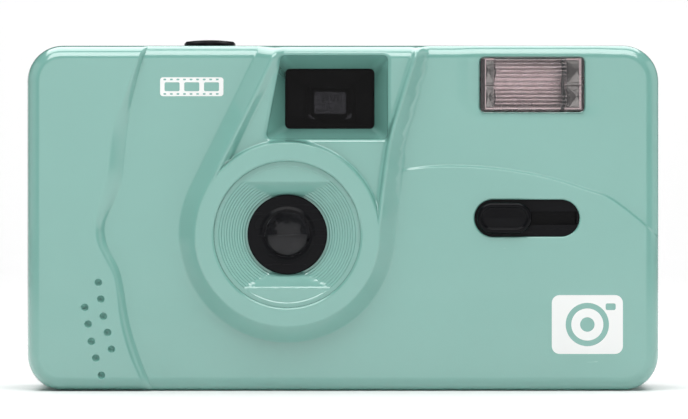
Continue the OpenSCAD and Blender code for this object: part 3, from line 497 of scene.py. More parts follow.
def inset_outline(d):
    return rounded_box(grown(OUTLINE, -d), CORNER_R - d, 1.2, 14)


def edge_offsets(r, count=5):
    """Distances at which a round edge of radius r turns by equal angles."""
    return [r * (1 - math.cos(math.radians(90 * k / count))) for k in range(1, count + 1)]


def clipped(line):
    """The stretches of a line that lie on the front face."""
    ok = box_distance(line[:, 0], line[:, 1], OUTLINE, CORNER_R) < -0.02
    parts, run = [], []
    for p, good in zip(line, ok):
        if good:
            run.append(p)
        elif run:
            parts.append(run)
            run = []
    parts.append(run)
    return [np.array(part) for part in parts if len(part) > 1]


def opening_loops(edge):
    """The flash's and the switch's openings, grown by a distance."""
    return [rounded_box(grown(flash_hole, edge), FLASH_R + edge, 0.8, 6),
            rounded_box(grown(switch_hole, edge), SLOT_R + edge - 1e-3, 0.8, 12)]


def front_lines():
    """Crease lines that the mesh of the front follows."""
    loops = [inset_outline(d) for d in edge_offsets(EDGE_R, 8)]
    for edge in edge_offsets(HOLE_EDGE, 3):
        loops += opening_loops(edge)
    for edge in edge_offsets(RING_EDGE, 4):
        loops.append(circle(LENS, CONE_R + edge, 180))
    for edge in edge_offsets(POCKET_EDGE, 4):
        corners = pocket_corners + edge * np.array([[-1, -1], [1, -1], [1, 1], [-1, 1]])
        loops.append(rounded_polygon(corners, POCKET_R + edge))
    for centre in dimples:
        loops += [circle(centre, DIMPLE_R * f, 24) for f in (0.3, 0.6, 0.85, 0.97, 1.1)]
    lines = [close_up(loop) for loop in loops]
    for d in (-STEP_LEFT - 2 * SOFT, -STEP_LEFT, -2 * SOFT, -SOFT, 0, SOFT, 2 * SOFT, FLANK,
              FLANK + 2 * SOFT):
        lines += clipped(offset_line(pear, -d))
    for d in (0, SOFT, 2 * SOFT, RING_SIDE, RING_SIDE + 2 * SOFT):
        lines.append(arc(LENS, RING_R + d, np.radians(np.linspace(5, 150, 90))))
    foot_x = np.interp(grip_crest[:, 1], grip_foot[::-1, 1], grip_foot[::-1, 0])
    for share in (-0.06, 0, 0.15, 0.3, 0.45, 0.6, 0.72, 0.83, 0.92, 1, 1.06):
        x = grip_crest[:, 0] + share * (foot_x - grip_crest[:, 0])
        lines += clipped(np.column_stack([x, grip_crest[:, 1]]))
    lines += [close_up(loop) for loop in PRINT_LOOPS]
    for middle in (-CREASE_WIDTH, 0):
        for d in (-CREASE_SOFT, 0, CREASE_SOFT):
            lines += clipped(crease + [0, middle + d])
    for d in (-DISH_SLOPE - 0.3, -DISH_SLOPE + 0.7, -0.5, 0.5):
        lines += clipped(rounded_box(grown(dish, d), DISH_R + d, 0.8, 12))
    return lines


HALF_FLAT = HALF_W - CORNER_R  # half of the flat stretch of top and base
TALL = HEIGHT - 2 * CORNER_R  # flat stretch of a side
ARC = CORNER_R * math.pi / 2
# The outline from the middle of the base, anticlockwise: where its flat and round stretches start by turns,
# and the centre of each stretch's corner.
STARTS = np.cumsum([0, HALF_FLAT, ARC, TALL, ARC, 2 * HALF_FLAT, ARC, TALL, ARC])
PERIMETER = STARTS[-1] + HALF_FLAT
CENTRE_X = HALF_FLAT * np.array([0, 1, 1, 1, 1, -1, -1, -1, -1])
CENTRE_Z = CORNER_R + TALL * np.array([0, 0, 0, 1, 1, 1, 1, 0, 0])
SIDE_FRONT = FACE_Y + EDGE_R
ON_LINE = 1e-6


def outline_point(s, y, inset):
    """Point on the cover's side at the length s along its outline."""
    s = np.asarray(s, float) % PERIMETER
    k = np.searchsorted(STARTS, s, side="right") - 1
    t = s - STARTS[k]
    turn = np.radians(90 * (k // 2) - 90) + np.where(k % 2, t / CORNER_R, 0)
    along = np.where(k % 2, 0, t)
    r = CORNER_R - inset
    x = CENTRE_X[k] + r * np.cos(turn) - along * np.sin(turn)
    z = CENTRE_Z[k] + r * np.sin(turn) + along * np.cos(turn)
    return np.column_stack([x, np.broadcast_to(y, s.shape), z])


def s_base(x):
    return x if x >= 0 else PERIMETER + x


def s_right(z):
    over = z - (HEIGHT - CORNER_R)
    return STARTS[3] + CORNER_R * math.asin(over / CORNER_R) if over > 0 else STARTS[2] + z - CORNER_R


def s_top(x):
    return STARTS[4] + HALF_FLAT - x


def s_left(z):
    return STARTS[6] + HEIGHT - CORNER_R - z


def outline_stops():
    """Lengths along the outline of the points that the front's edge has."""
    out = []
    for x, z in inset_outline(0):
        if z < ON_LINE:
            out.append(s_base(x))
        elif z > HEIGHT - ON_LINE:
            out.append(s_top(x))
        elif x > HALF_W - ON_LINE:
            out.append(s_right(z))
        elif x < -HALF_W + ON_LINE:
            out.append(s_left(z))
        else:
            upper = int(z > HEIGHT / 2)
            quarter = upper if x > 0 else 3 - upper
            k = 2 * quarter + 1
            turn = math.atan2(z - CENTRE_Z[k], x - CENTRE_X[k]) - math.radians(90 * quarter - 90)
            out.append(STARTS[k] + turn % (2 * math.pi) * CORNER_R)
    return np.sort(np.array(out) % PERIMETER)


def middle_of(corners):
    return (corners[0][0] + corners[1][0]) / 2, (corners[0][1] + corners[1][1]) / 2


def growing_circle(s, y, r, count):
    return lambda g: circle((s, y), r + g, count)


def growing_box(box, r, step, count):
    return lambda g: rounded_box(grown(box, g), r + g, step, count)


def side_holes():
    """Openings in the cover's side: its loop, grown by a distance; how deep; and whether it has a floor."""
    battery, window = edges_of("battery_door"), edges_of("counter_window")
    rewind, release = middle_of(edges_of("rewind_fork")), middle_of(edges_of("rewind_button"))
    counter_box = (s_top(window[1][0] - 0.45), window[0][1] + 0.4,
                   s_top(window[0][0] + 0.45), window[1][1] - 0.4)
    battery_box = (s_base(battery[0][0] - 0.3), battery[0][1] - 0.2,
                   s_base(battery[1][0] + 0.2), battery[1][1] + 0.2)
    strap_box = (s_right(51), -9.5, s_right(58.6), 0.5)
    latch_box = (s_right(21.8), 5.4, s_right(34.8), 10.6)
    button, crank, release_r, screw = 5.0, 10.6, 2.25, 1.9
    return [
        (growing_circle(s_top(middle_of(BUTTON)[0]), -0.5, button, 48), WALL, False),
        (growing_box(counter_box, 0.4, 1.0, 4), WALL, False),
        (growing_circle(s_base(rewind[0]), rewind[1], crank, 96), 3.4, True),
        (growing_circle(s_base(release[0]), release[1], release_r, 32), WALL, False),
        (growing_box(battery_box, 0.3, 1.0, 3), WALL, False),
        (growing_box(strap_box, 0.8, 0.8, 5), 6.0, True),
        (growing_box(latch_box, 0.6, 1.0, 4), WALL, False),
    ] + [(growing_circle(s_base(x), -9.6, screw, 28), 0.9, True) for x in (-50, 8)]


def side_point(p, inset):
    """Points of length and depth on the side, set in by a distance."""
    return outline_point(p[:, 0], p[:, 1], inset)


def pocket_point(p, depth, around=None):
    """Like side_point, but straight inwards, so that a pocket's walls stay parallel."""
    middle_s = np.array([(p if around is None else around)[:, 0].mean()])
    on = outline_point(p[:, 0], p[:, 1], 0)
    middle, inner = outline_point(middle_s, 0, 0)[0], outline_point(middle_s, 0, 1)[0]
    return on + np.outer(depth - (on - middle) @ (inner - middle), inner - middle)


HINGE_TOP = 47.3
HINGE_CUT = 0.6
SEAM = 0.18  # rounding at the seam with the rear cover
HOLE_ROUND = 0.25
POCKET_WALL = 1.0  # thickness of the walls and floors of the side's pockets
DEEP = 2  # pockets deeper than this have walls of their own inside
JUST_PAST = 0.05


def back_edge(stops):
    """Lengths and depths of the cover's back edge, which is cut back beside the door's hinge."""
    upper, lower = s_left(HINGE_TOP), s_left(CORNER_R)
    cut_y = PART_Y - HINGE_CUT
    line = np.column_stack([stops, np.where((stops > upper) & (stops < lower), cut_y, PART_Y)])
    before, after = line[stops < upper - JUST_PAST], line[stops > lower + JUST_PAST]
    between = line[(stops > upper + JUST_PAST) & (stops < lower - JUST_PAST)]
    return np.vstack([before, [[upper, PART_Y], [upper, cut_y]],
                      between, [[lower, cut_y], [lower, PART_Y]], after])


def add_sides(shape):
    """Top, base and sides of the cover, unrolled along the outline."""
    whole = np.append(outline_stops(), PERIMETER)
    front = np.column_stack([whole, np.full(len(whole), SIDE_FRONT)])
    back = back_edge(whole)
    holes = side_holes()
    rims = [loop(HOLE_ROUND) for loop, _, _ in holes]
    shape.sheet(np.vstack([front, back[::-1] - [0, SEAM]]), rims, [], 3.0,
                lambda s, y: outline_point(s, y, 0))
    front[:, 1] = FACE_Y + WALL
    rims = [loop(POCKET_WALL if blind and depth > DEEP else 0) for loop, depth, blind in holes
            if not (blind and depth < WALL)]
    shape.sheet(np.vstack([front, back[::-1]]), rims, [], 4.0, lambda s, y: outline_point(s, y, WALL))
    quarter = np.radians([0, 30, 60, 90])
    for loop, depth, blind in holes:
        walls = [side_point(loop(HOLE_ROUND * (1 - math.sin(a))), HOLE_ROUND * (1 - math.cos(a)))
                 for a in quarter]
        floor = loop(0)
        if not blind:
            shape.loft(walls + [side_point(floor, WALL)])
            continue
        shape.loft(walls + [pocket_point(floor, depth)])
        add_floor(shape, floor, depth)
        if depth > DEEP:
            around = loop(POCKET_WALL)
            shape.loft([side_point(around, WALL), pocket_point(around, depth + POCKET_WALL)])
            add_floor(shape, around, depth + POCKET_WALL)
    edge_s, edge_y = back[:-1].T
    rim = [outline_point(edge_s, edge_y - SEAM * (1 - math.sin(a)), SEAM * (1 - math.cos(a)))
           for a in quarter]
    shape.loft(rim + [outline_point(edge_s, edge_y, WALL)])


def add_floor(shape, loop, depth):
    """Floor of a side pocket: the flat outline moved straight in."""
    shape.sheet(loop, [], [], 0, lambda s, y: pocket_point(np.column_stack([s, y]), depth, loop))


LEDGE_R = 8.0  # opening behind the funnel
LEDGE_DEPTH = 0.4
WINDOW_DEPTH = 1.2  # thickness of the pocket's frame round the finder window
POCKET_TOP = 61.2


def build_front():
    shape = Shape()
    lens_loop = circle(LENS, CONE_R, 180)
    openings = opening_loops(0)
    shape.sheet(inset_outline(0), [lens_loop, *openings, pocket_rim], front_lines(), 0.9,
                front_place, front_normal)
    inner_y = FACE_Y + WALL
    for loop in openings:
        shape.loft([front_place(*loop.T), at_y(loop, inner_y)])
    ledge = circle(LENS, LEDGE_R, 180)
    shape.loft([front_place(*lens_loop.T), at_y(lens_loop, FACE_Y + LEDGE_DEPTH),
                at_y(ledge, FACE_Y + LEDGE_DEPTH), at_y(ledge, inner_y)])
    # funnel from the pocket's rim to the finder window, and back to the inner wall
    window = match_loop(rounded_box(finder_hole, FINDER_R, 0.4, 6), pocket_rim)
    top, goal = front_place(*pocket_rim.T), at_y(window, finder_y)
    outward = pocket_rim - pocket_rim.mean(0)
    back_rim = pocket_rim + WINDOW_DEPTH * outward / np.linalg.norm(outward, axis=1)[:, None]
    back_rim[:, 1] = np.minimum(back_rim[:, 1], POCKET_TOP)
    shape.loft([top + (goal - top) * t for t in (0, 0.1, 0.35, 0.7, 0.97, 1)]
               + [at_y(window, finder_y + WINDOW_DEPTH), at_y(back_rim, finder_y + WINDOW_DEPTH),
                  at_y(back_rim, inner_y)])
    inner_outline = np.array([outline_point(s, 0, WALL)[0][[0, 2]] for s in outline_stops()])
    shape.sheet(inner_outline, [*openings, ledge, back_rim], [], 4.0, wall_at(inner_y))
    add_sides(shape)
    obj = shape.build("front_shell")
    middles = np.array([polygon.center for polygon in obj.data.polygons]) / MM
    on_front = middles[:, 1] < FACE_Y + 0.5
    marks = printed(middles[:, 0], middles[:, 2]) & on_front
    for _ in range(2):
        obj.data.materials.append(None)
    obj.data.polygons.foreach_set("material_index", marks.astype(np.int32))
    return obj


def match_loop(loop, like):
    """The loop resampled to the directions from its middle that another loop's points have."""
    even = resample(close_up(loop), 0.05)[:-1]
    want = np.arctan2(*(like - like.mean(0)).T[::-1])
    have = np.arctan2(*(even - even.mean(0)).T[::-1])
    order = np.argsort(have)
    have, even = have[order], even[order]
    have = np.concatenate([have - 2 * math.pi, have, have + 2 * math.pi])
    even = np.vstack([even, even, even])
    return np.column_stack([np.interp(want, have, even[:, k]) for k in (0, 1)])


# ---- surround of the lens
FUNNEL_FLAT = 9.5  # half height of the funnel between its two shelves
FUNNEL_STEPS = 11
RISER = (0.62, 0.98)  # where in a step its slope lies
STAIRS = (RETAINER_R + 0.1, 12.35)  # radii between which the steps lie
SHELF_DROP = 0.12
cone_front = ring_low[1] + 0.55
cone_back = ring_high[1] - 0.35


def funnel_y(x, z):
    """Depth of the ridged funnel around the lens."""
    dx, dz = x - LENS[0], z - LENS[1]
    t = np.clip((np.hypot(dx, dz) - STAIRS[0]) / (STAIRS[1] - STAIRS[0]), 0, 1) * FUNNEL_STEPS
    step = np.floor(np.clip(t, 0, FUNNEL_STEPS - 1e-6))
    stairs = (step + ramp(t - step, *RISER, 0.05)) / FUNNEL_STEPS
    cone = cone_back + (cone_front - cone_back) * stairs
    shelf = cone_front + SHELF_DROP
    down = ramp(FUNNEL_FLAT - np.abs(dz), 0, FUNNEL_FLAT - RETAINER_R + 0.3, SHELF_DROP)
    return np.minimum(cone, shelf + (cone_back - shelf) * down)


def build_funnel():
    shape = Shape()
    outer = circle(LENS, CONE_R - 0.02, 180)
    hole = circle(LENS, RETAINER_R + 0.03, 110)
    lines = [close_up(circle(LENS, STAIRS[0] + (STAIRS[1] - STAIRS[0]) * (k + f) / FUNNEL_STEPS, 140))
             for k in range(FUNNEL_STEPS) for f in (0.6, 0.99)]
    for z in (FUNNEL_FLAT - SHELF_DROP, FUNNEL_FLAT + SHELF_DROP):
        half = math.sqrt((CONE_R - 0.1) ** 2 - z * z)
        for way in (-z, z):
            lines.append(resample(LENS + [[-half, way], [half, way]], 0.5))
    shape.sheet(outer, [hole], lines, 0.32, lambda x, z: np.column_stack([x, funnel_y(x, z), z]))
    back = cone_back + 0.3
    for loop in (outer, hole):
        shape.loft([at_y(loop, funnel_y(*loop.T)), at_y(loop, back)])
    shape.sheet(outer, [hole], [], 0, wall_at(back))
    return shape.build("lens_funnel", 20)


# ---- flash
STEM = (30.6, 33.3)  # the knob's stem in X


def add_cap(shape, loop):
    """Closes a pill's end with strips between its two long sides."""
    for i in range(1, len(loop) // 2):
        shape.add(np.array([loop[i - 1], loop[i], loop[-i - 1], loop[-i]]))


def build_knob():
    """Slider of the flash switch: a pill with a raised border, and the stem behind it."""
    (x0, y0, bottom), (_, back, top) = SWITCH
    half = (top - bottom) / 2
    length = 9.9
    rows = [(half - 0.12, 1.4), (0.0, 1.4), (0.0, 0.6), (0.08, 0.32), (0.25, 0.1), (0.5, 0.0), (0.72, 0.03),
            (0.86, 0.14), (0.95, 0.28), (1.1, 0.36), (1.5, 0.33), (half - 0.12, 0.2)]
    loops = [at_y(rounded_box(grown((x0, bottom, x0 + length, top), -d), half - d - 1e-3, 1.0, 14), y0 + y)
             for d, y in rows]
    shape = Shape()
    shape.loft(loops)
    add_cap(shape, loops[0])
    add_cap(shape, loops[-1])
    for half_z, front, rear in ((1.0, y0 + 1.3, back - 0.5), (1.8, back - 0.55, back)):
        ring = rounded_box((STEM[0], switch_z - half_z, STEM[1], switch_z + half_z), 0.1, 3.0, 1)
        ends = [at_y(ring, front), at_y(ring, rear)]
        shape.loft(ends)
        for end in ends:
            shape.add(end)
    return shape.build("switch_slider", 40)


RIB_PITCH, RIB_HEIGHT = 0.66, 0.16


def build_flash_panel():
    """Clear cover of the flash, with half-round ribs inside between two flat ends."""
    (x0, front, z0), (x1, _, z1) = FLASH
    ribs = (x0 + 2.45, x1 - 3.15)
    flat = front + 0.85
    zs = np.linspace(z0, z1, 241)
    arch = flat + RIB_HEIGHT * np.abs(np.sin(math.pi * (zs - z0) / RIB_PITCH))
    inside_y = [(x0, flat), (ribs[0], flat), (ribs[0] + 0.01, arch), (ribs[1], arch), (ribs[1] + 0.01, flat),
                (x1, flat)]
    columns = [np.column_stack([np.full_like(zs, x), np.broadcast_to(y, zs.shape), zs]) for x, y in inside_y]
    face = [np.column_stack([np.full_like(zs, x), np.full_like(zs, front), zs]) for x, _ in inside_y]
    shape = Shape()
    for sheets in (columns, face, [face[0], columns[0]], [face[-1], columns[-1]]):
        shape.loft(sheets, closed=False)
    for k in (0, -1):
        shape.loft([np.array([c[k] for c in face]), np.array([c[k] for c in columns])], closed=False)
    return shape.build("flash_panel")


PLATE_GAP = 0.2
flash_split = (FLASH[0][2] + FLASH[1][2]) / 2 - 0.1  # where the end plates' halves meet


def build_flash_ends():
    """Pressed bright end plates of the reflector: each half is a low pyramid."""
    low, high = FLASH
    y, rise = low[1] + 1.95, 0.6
    shape = Shape()
    for x0, x1, tip in ((low[0] + 0.85, low[0] + 2.4, 0.35), (high[0] - 3.0, high[0] - 0.35, 0.7)):
        for z0, z1 in ((low[2] + 0.3, flash_split - PLATE_GAP / 2),
                       (flash_split + PLATE_GAP / 2, high[2] - 0.3)):
            base = np.array([[x0, y, z0], [x1, y, z0], [x1, y, z1], [x0, y, z1]])
            top = np.array([x0 + tip * (x1 - x0), y - rise, z0 + 0.55 * (z1 - z0)])
            for i in range(4):
                shape.add(np.array([base[i], base[(i + 1) % 4], top]))
            shape.add(base[::-1])
    return shape.build("flash_ends", 5)


def build_flash_gap_shade():
    """Painted shade: black strips as dark edges of the reflector beside its end plates, with a wavy inner
    border, and over the seam of the plates' halves.
    """
    low, high = FLASH
    y, thick = low[1] + 1.0, 0.15
    zs = np.linspace(low[2] + 0.15, high[2] - 0.15, 61)
    wave = 0.5 + 0.5 * np.cos(4 * math.pi * (zs - zs[0]) / (zs[-1] - zs[0]))
    shape = Shape()
    for left, right in ((0 * zs + low[0] + 0.05, 0 * zs + low[0] + 0.8),
                        (low[0] + 2.5 - 0.1 * wave, low[0] + 2.75 - 0.35 * wave),
                        (high[0] - 3.9 - 0.25 * wave, high[0] - 3.1 - 0.45 * wave)):
        corners = [(left, y), (right, y), (right, y + thick), (left, y + thick), (left, y)]
        shape.loft([np.column_stack([x, np.full_like(zs, depth), zs]) for x, depth in corners], closed=False)
    # painted shade: a dark strip over the seam between the halves of each end plate
    for x0, x1 in ((low[0] + 0.8, low[0] + 2.5), (high[0] - 3.4, high[0] - 0.3)):
        corners = ((x0, -0.09), (x1, -0.05), (x1, 0.09), (x0, 0.06))
        shape.add(np.array([[x, y, flash_split + z] for x, z in corners]))
    return shape.build("flash_gap_shade", 20)


# ---- CAD pieces with softened edges
SOFT_EDGES = {
    "lens_retainer": 0.12, "shutter_button": 0.2, "eyepiece_rim": 0.25,
    "door_latch": 0.12, "crank_arm": 0.15, "back_door": 0.18, "rear_cover": 0.12, "battery_door": 0.12,
    "rewind_fork": 0.1, "rewind_button": 0.12, "advance_wheel": 0.08, "case_screws": 0.06,
    "chassis_screws": 0.06, "pressure_plate": 0.1, "chassis": 0.1, "takeup_spool": 0.12,
    "finder_window": 0.12, "counter_window": 0.1, "switch_plate": 0.08, "battery_holder": 0.15,
    "finder_housing": 0.1, "flash_board": 0.05, "flash_transformer": 0.15, "lens_holder": 0.1,
}


def soften(node, width):
    """Rounds the sharp edges of a CAD node."""
    mod = frame["nodes"][node].modifiers.new("soft_edges", "BEVEL")
    mod.width = width * MM
    mod.segments = 3
    mod.limit_method = "ANGLE"
    mod.angle_limit = math.radians(35)
    mod.harden_normals = True


# ---- materials
MATERIALS = {}


class Nodes:
    """Short hand for building a node material, which is also listed in MATERIALS."""

    def __init__(self, name):
        self.mat = MATERIALS[name] = bpy.data.materials.new(name)
        self.mat.use_nodes = True
        self.tree = self.mat.node_tree
        self.shader = self.tree.nodes["Principled BSDF"]
        self.coords = self.tree.nodes.new("ShaderNodeTexCoord").outputs["Object"]

    def make(self, kind, links=None, **settings):
        node = self.tree.nodes.new(kind)
        for key, value in settings.items():
            setattr(node, key, value)
        for key, value in (links or {}).items():
            self.feed(node.inputs[key], value)
        return node

    def feed(self, socket, value):
        if isinstance(value, bpy.types.NodeSocket):
            self.tree.links.new(value, socket)
        else:
            socket.default_value = value

    def link(self, source, key):
        self.tree.links.new(source, self.shader.inputs[key])

    def set(self, **values):
        for key, value in values.items():
            self.shader.inputs[key.replace("_", " ")].default_value = value

    def stretched(self, x, y, z):
        node = self.make("ShaderNodeMapping", {"Vector": self.coords, "Scale": (x, y, z)})
        return node.outputs["Vector"]

    def noise(self, scale, detail=3, rough=0.5, vector=None):
        node = self.make("ShaderNodeTexNoise", {"Vector": vector or self.coords, "Scale": scale,
                                                "Detail": detail, "Roughness": rough})
        return node.outputs["Fac"]

    def map(self, value, low, high, from_low=0.0, from_high=1.0):
        node = self.make("ShaderNodeMapRange", {"Value": value, "From Min": from_low, "From Max": from_high,
                                                "To Min": low, "To Max": high})
        return node.outputs["Result"]

    def mix(self, factor, a, b):
        node = self.make("ShaderNodeMix", data_type="RGBA")
        a, b = (v if isinstance(v, bpy.types.NodeSocket) else (*v, 1) for v in (a, b))
        for key, kind, value in (("Factor", "VALUE", factor), ("A", "RGBA", a), ("B", "RGBA", b)):
            self.feed(next(s for s in node.inputs if s.name == key and s.type == kind), value)
        return next(s for s in node.outputs if s.type == "RGBA")

    def bump(self, height, strength, distance):
        settings = {"Height": height, "Strength": strength, "Distance": distance * MM}
        self.link(self.make("ShaderNodeBump", settings).outputs["Normal"], "Normal")

    def add(self, a, b, share=1.0):
        node = self.make("ShaderNodeMath", {0: b, 1: share, 2: a}, operation="MULTIPLY_ADD")
        return node.outputs["Value"]


def plastic(name, color, deep, rough, grain=900, grain_depth=0.004, coat=0.0, worn=0.04, shine=0.5):
    """Moulded plastic: faint colour drift, fine grain and hairline rub marks."""
    m = Nodes(name)
    drift = m.noise(22, 4, 0.55)
    m.link(m.mix(m.map(drift, 0, 1, 0.3, 0.7), deep, color), "Base Color")
    marks = m.noise(140, 3, 0.6, m.stretched(1, 1, 9))
    marks = m.map(marks, 0, 1, 0.56, 0.72)
    spread = m.map(m.noise(60, 3, 0.5), rough - 0.03, rough + 0.04, 0.35, 0.65)
    m.link(m.add(spread, marks, worn), "Roughness")
    wave = m.add(m.noise(grain, 2, 0.5), m.noise(70, 2, 0.5), 1.5)
    m.bump(m.add(wave, marks, 0.25), 0.35, grain_depth)
    m.set(Coat_Weight=coat, Coat_Roughness=0.05, Specular_IOR_Level=shine)


def metal(name, color, deep, rough, brush=(1, 1, 30), scale=300):
    """Metal with brush marks, tarnish and a varying gloss."""
    m = Nodes(name)
    lines = m.noise(scale, 3, 0.6, m.stretched(*brush))
    dull = m.noise(60, 4, 0.6)
    m.link(m.mix(m.map(dull, 0, 1, 0.35, 0.7), color, deep), "Base Color")
    m.link(m.map(lines, rough - 0.06, rough + 0.1, 0.3, 0.7), "Roughness")
    m.bump(lines, 0.25, 0.01)
    m.set(Metallic=1.0)


def glass(name, color, rough, ior):
    """Clear moulded or ground glass with faint dust."""
    m = Nodes(name)
    dust = m.map(m.noise(700, 2, 0.7), 0, 1, 0.66, 0.8)
    m.link(m.add(m.map(m.noise(40, 2, 0.5), rough, rough + 0.03), dust, 0.2), "Roughness")
    m.set(Base_Color=(*color, 1), Transmission_Weight=1.0, IOR=ior)


def circuit_board(name):
    """Green laminate with copper tracks and solder points."""
    m = Nodes(name)
    tracks = m.make("ShaderNodeTexBrick", {"Vector": m.coords, "Scale": 260.0, "Mortar Size": 0.03,
                                           "Brick Width": 0.9, "Row Height": 0.42}, offset=0.4)
    spots = m.make("ShaderNodeTexVoronoi", {"Vector": m.coords, "Scale": 330.0}).outputs["Distance"]
    solder = m.map(spots, 1, 0, 0.18, 0.26)
    lacquer = m.mix(tracks.outputs["Fac"], (0.015, 0.11, 0.05), (0.10, 0.24, 0.08))
    m.link(m.mix(solder, lacquer, (0.62, 0.62, 0.60)), "Base Color")
    m.link(m.map(solder, 0.38, 0.22), "Roughness")
    m.bump(m.add(solder, tracks.outputs["Fac"], 0.4), 0.6, 0.05)


def winding(name):
    """Enamelled copper wire wound in close turns."""
    m = Nodes(name)
    turns = m.make("ShaderNodeTexWave", {"Vector": m.coords, "Scale": 900.0, "Distortion": 1.5},
                   bands_direction="X").outputs["Fac"]
    m.link(m.mix(turns, (0.30, 0.09, 0.03), (0.78, 0.32, 0.12)), "Base Color")
    m.link(m.map(turns, 0.45, 0.25), "Roughness")
    m.bump(turns, 0.8, 0.08)
    m.set(Metallic=0.8)


def foam(name):
    m = Nodes(name)
    cells = m.make("ShaderNodeTexVoronoi", {"Vector": m.coords, "Scale": 1500.0}).outputs["Distance"]
    m.link(m.mix(cells, (0.012, 0.012, 0.012), (0.05, 0.05, 0.05)), "Base Color")
    m.bump(cells, 1.0, 0.2)
    m.set(Roughness=0.95, Specular_IOR_Level=0.1)


def sleeve(name):
    """Shrunk plastic sleeve with a pale polarity stripe."""
    m = Nodes(name)
    bands = m.make("ShaderNodeTexWave", {"Vector": m.coords, "Scale": 24.0, "Distortion": 0.2},
                   bands_direction="Z").outputs["Fac"]
    m.link(m.mix(m.map(bands, 0, 1, 0.86, 0.88), (0.02, 0.03, 0.06), (0.45, 0.46, 0.48)), "Base Color")
    m.link(m.map(m.noise(200, 3, 0.6), 0.25, 0.4), "Roughness")
    m.bump(m.noise(90, 3, 0.5), 0.3, 0.05)


plastic("mint_plastic", (0.192, 0.418, 0.366), (0.180, 0.402, 0.350), 0.20, coat=0.9, shine=0.8)
plastic("black_plastic", (0.006, 0.006, 0.007), (0.004, 0.004, 0.005), 0.24, worn=0.1, shine=0.1)
plastic("black_gloss", (0.005, 0.005, 0.006), (0.003, 0.003, 0.004), 0.16, worn=0.08, shine=0.1)
metal("plate_metal", (0.24, 0.26, 0.25), (0.16, 0.18, 0.17), 0.20, (1, 1, 1))
plastic("black_moulding", (0.020, 0.020, 0.021), (0.013, 0.013, 0.014), 0.50, grain=1400, grain_depth=0.02)
metal("black_metal", (0.035, 0.035, 0.037), (0.02, 0.02, 0.022), 0.42)
metal("steel", (0.62, 0.62, 0.63), (0.45, 0.45, 0.46), 0.26)
metal("screw_steel", (0.50, 0.50, 0.52), (0.32, 0.32, 0.34), 0.32, (1, 1, 1), 500)
glass("lens_glass", (0.40, 0.41, 0.44), 0.02, 1.33)
glass("tinted_window", (0.055, 0.053, 0.056), 0.02, 1.2)
glass("clear_plastic", (0.98, 0.90, 0.91), 0.08, 1.45)
metal("bright_metal", (0.54, 0.50, 0.50), (0.40, 0.37, 0.37), 0.22)
glass("tube_glass", (0.97, 0.93, 0.94), 0.03, 1.45)
circuit_board("circuit_board")
sleeve("capacitor_sleeve")
winding("copper_winding")
glass("red_lamp", (0.85, 0.03, 0.01), 0.1, 1.45)
plastic("white_plastic", (0.78, 0.77, 0.74), (0.72, 0.71, 0.68), 0.35)
foam("black_foam")
plastic("white_print", (0.86, 0.87, 0.86), (0.82, 0.83, 0.82), 0.32, worn=0.08)
SLOTS = {s["node"]: s["material_slot"] for s in frame["record"]["subparts"]}


def paint(obj, *names):
    """Gives a piece its materials, keeping which face has which."""
    slots = obj.data.materials
    while len(slots) < len(names):
        slots.append(None)
    for i, name in enumerate(names):
        slots[i] = MATERIALS[name]


def place(obj, body, slot, *nodes):
    """Hangs a finished piece on its body and hides the CAD nodes that it stands for."""
    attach(obj, body)
    if nodes:
        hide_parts(*nodes)


for node, obj in frame["nodes"].items():
    paint(obj, SLOTS[node])

# ---- the visible pieces
# Builder, materials, body, slot and the CAD nodes it stands for.
PIECES = (
    (build_front, ["mint_plastic", "white_print"], "camera", "mint_plastic", "front_cover"),
    (build_funnel, ["mint_plastic"], "camera", "mint_plastic", "lens_cone"),
    (build_knob, ["black_gloss"], "flash_switch", "black_plastic", "flash_switch"),
    (build_flash_panel, ["clear_plastic"], "camera", "clear_plastic", "flash_diffuser"),
    (build_flash_ends, ["plate_metal"], "camera", "steel"),
    # painted shade: black strips in the flash's gaps
    (build_flash_gap_shade, ["black_plastic"], "camera", "black_plastic"),
)
for build, names, *riding in PIECES:
    piece = build()
    paint(piece, *names)
    place(piece, *riding)

for node, width in SOFT_EDGES.items():
    soften(node, width)

# ---- stage
world = bpy.data.worlds.new("studio")
world.use_nodes = True
sky = world.node_tree.nodes["Background"].inputs
sky["Color"].default_value = (1, 1, 1, 1)
sky["Strength"].default_value = 0.05
bpy.context.scene.world = world
BODY = (0, 0, 0.03)
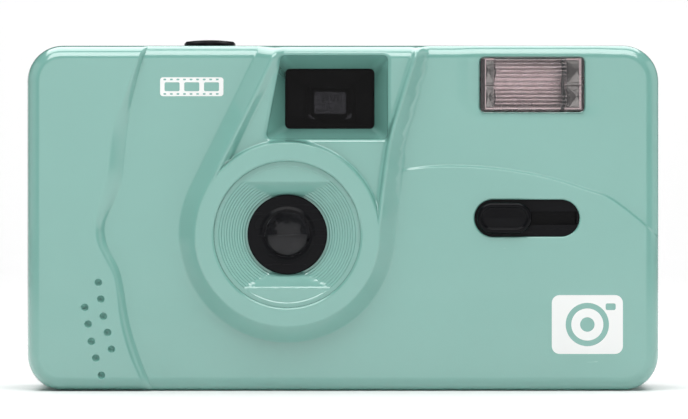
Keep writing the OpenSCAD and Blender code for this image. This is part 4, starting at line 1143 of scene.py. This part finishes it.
# Soft lights: place, target, width, height and power.
LIGHTS = {
    "above": ((-0.02, -0.35, 0.64), BODY, 0.8, 0.5, 5.2),
    "left": ((-0.70, -0.05, 0.26), BODY, 0.9, 0.5, 0.7),
    "right": ((0.70, -0.05, 0.26), BODY, 0.9, 0.5, 1.1),
    "front": ((0.0, -0.76, 0.06), BODY, 0.5, 0.4, 0.64),
    "back": ((0.0, 0.75, 1.1), (0.0, 0.9, 0.0), 1.4, 1.4, 17.5),
}
for name, (spot, target, width, height, power) in LIGHTS.items():
    light = bpy.data.lights.new(name, "AREA")
    light.energy = power
    light.shape = "RECTANGLE"
    light.size = width
    light.size_y = height
    lamp = new_object(name, light)
    lamp.location = spot
    lamp.rotation_euler = (Vector(target) - Vector(spot)).to_track_quat("-Z", "Y").to_euler()


def build_floor():
    """Pale floor that curves up at the back."""
    flat_end, bend = 1.0, 0.6
    profile = [(-2.5, 0.0), (flat_end, 0.0)]
    profile += [(flat_end + bend * math.sin(a), bend - bend * math.cos(a))
                for a in np.radians(np.linspace(6, 66, 11))]
    mesh = bpy.data.meshes.new("floor")
    verts = [(x, y, z) for y, z in profile for x in (-3, 3)]
    faces = [(2 * i, 2 * i + 1, 2 * i + 3, 2 * i + 2) for i in range(len(profile) - 1)]
    mesh.from_pydata(verts, [], faces)
    mesh.polygons.foreach_set("use_smooth", [True] * len(faces))
    obj = new_object("floor", mesh)
    m = Nodes("floor")
    m.link(m.mix(m.noise(8, 3, 0.5), (0.90, 0.90, 0.90), (0.92, 0.92, 0.92)), "Base Color")
    m.set(Roughness=0.7, Specular_IOR_Level=0.2)
    obj.data.materials.append(m.mat)
    return obj


build_floor()

camera = new_object("camera", bpy.data.cameras.new("camera"))
VIEW_WIDTH = 124.3 * MM
DISTANCE = 0.7
SENSOR = 36
camera.location = (0.0002, SIDE_FRONT * MM - DISTANCE, 0.0327)
camera.rotation_euler = (math.pi / 2, 0, 0)
camera.data.sensor_width = SENSOR
camera.data.lens = SENSOR * DISTANCE / VIEW_WIDTH
camera.data.clip_start = 0.01
bpy.context.scene.camera = camera
bpy.context.scene.view_settings.view_transform = "Standard"
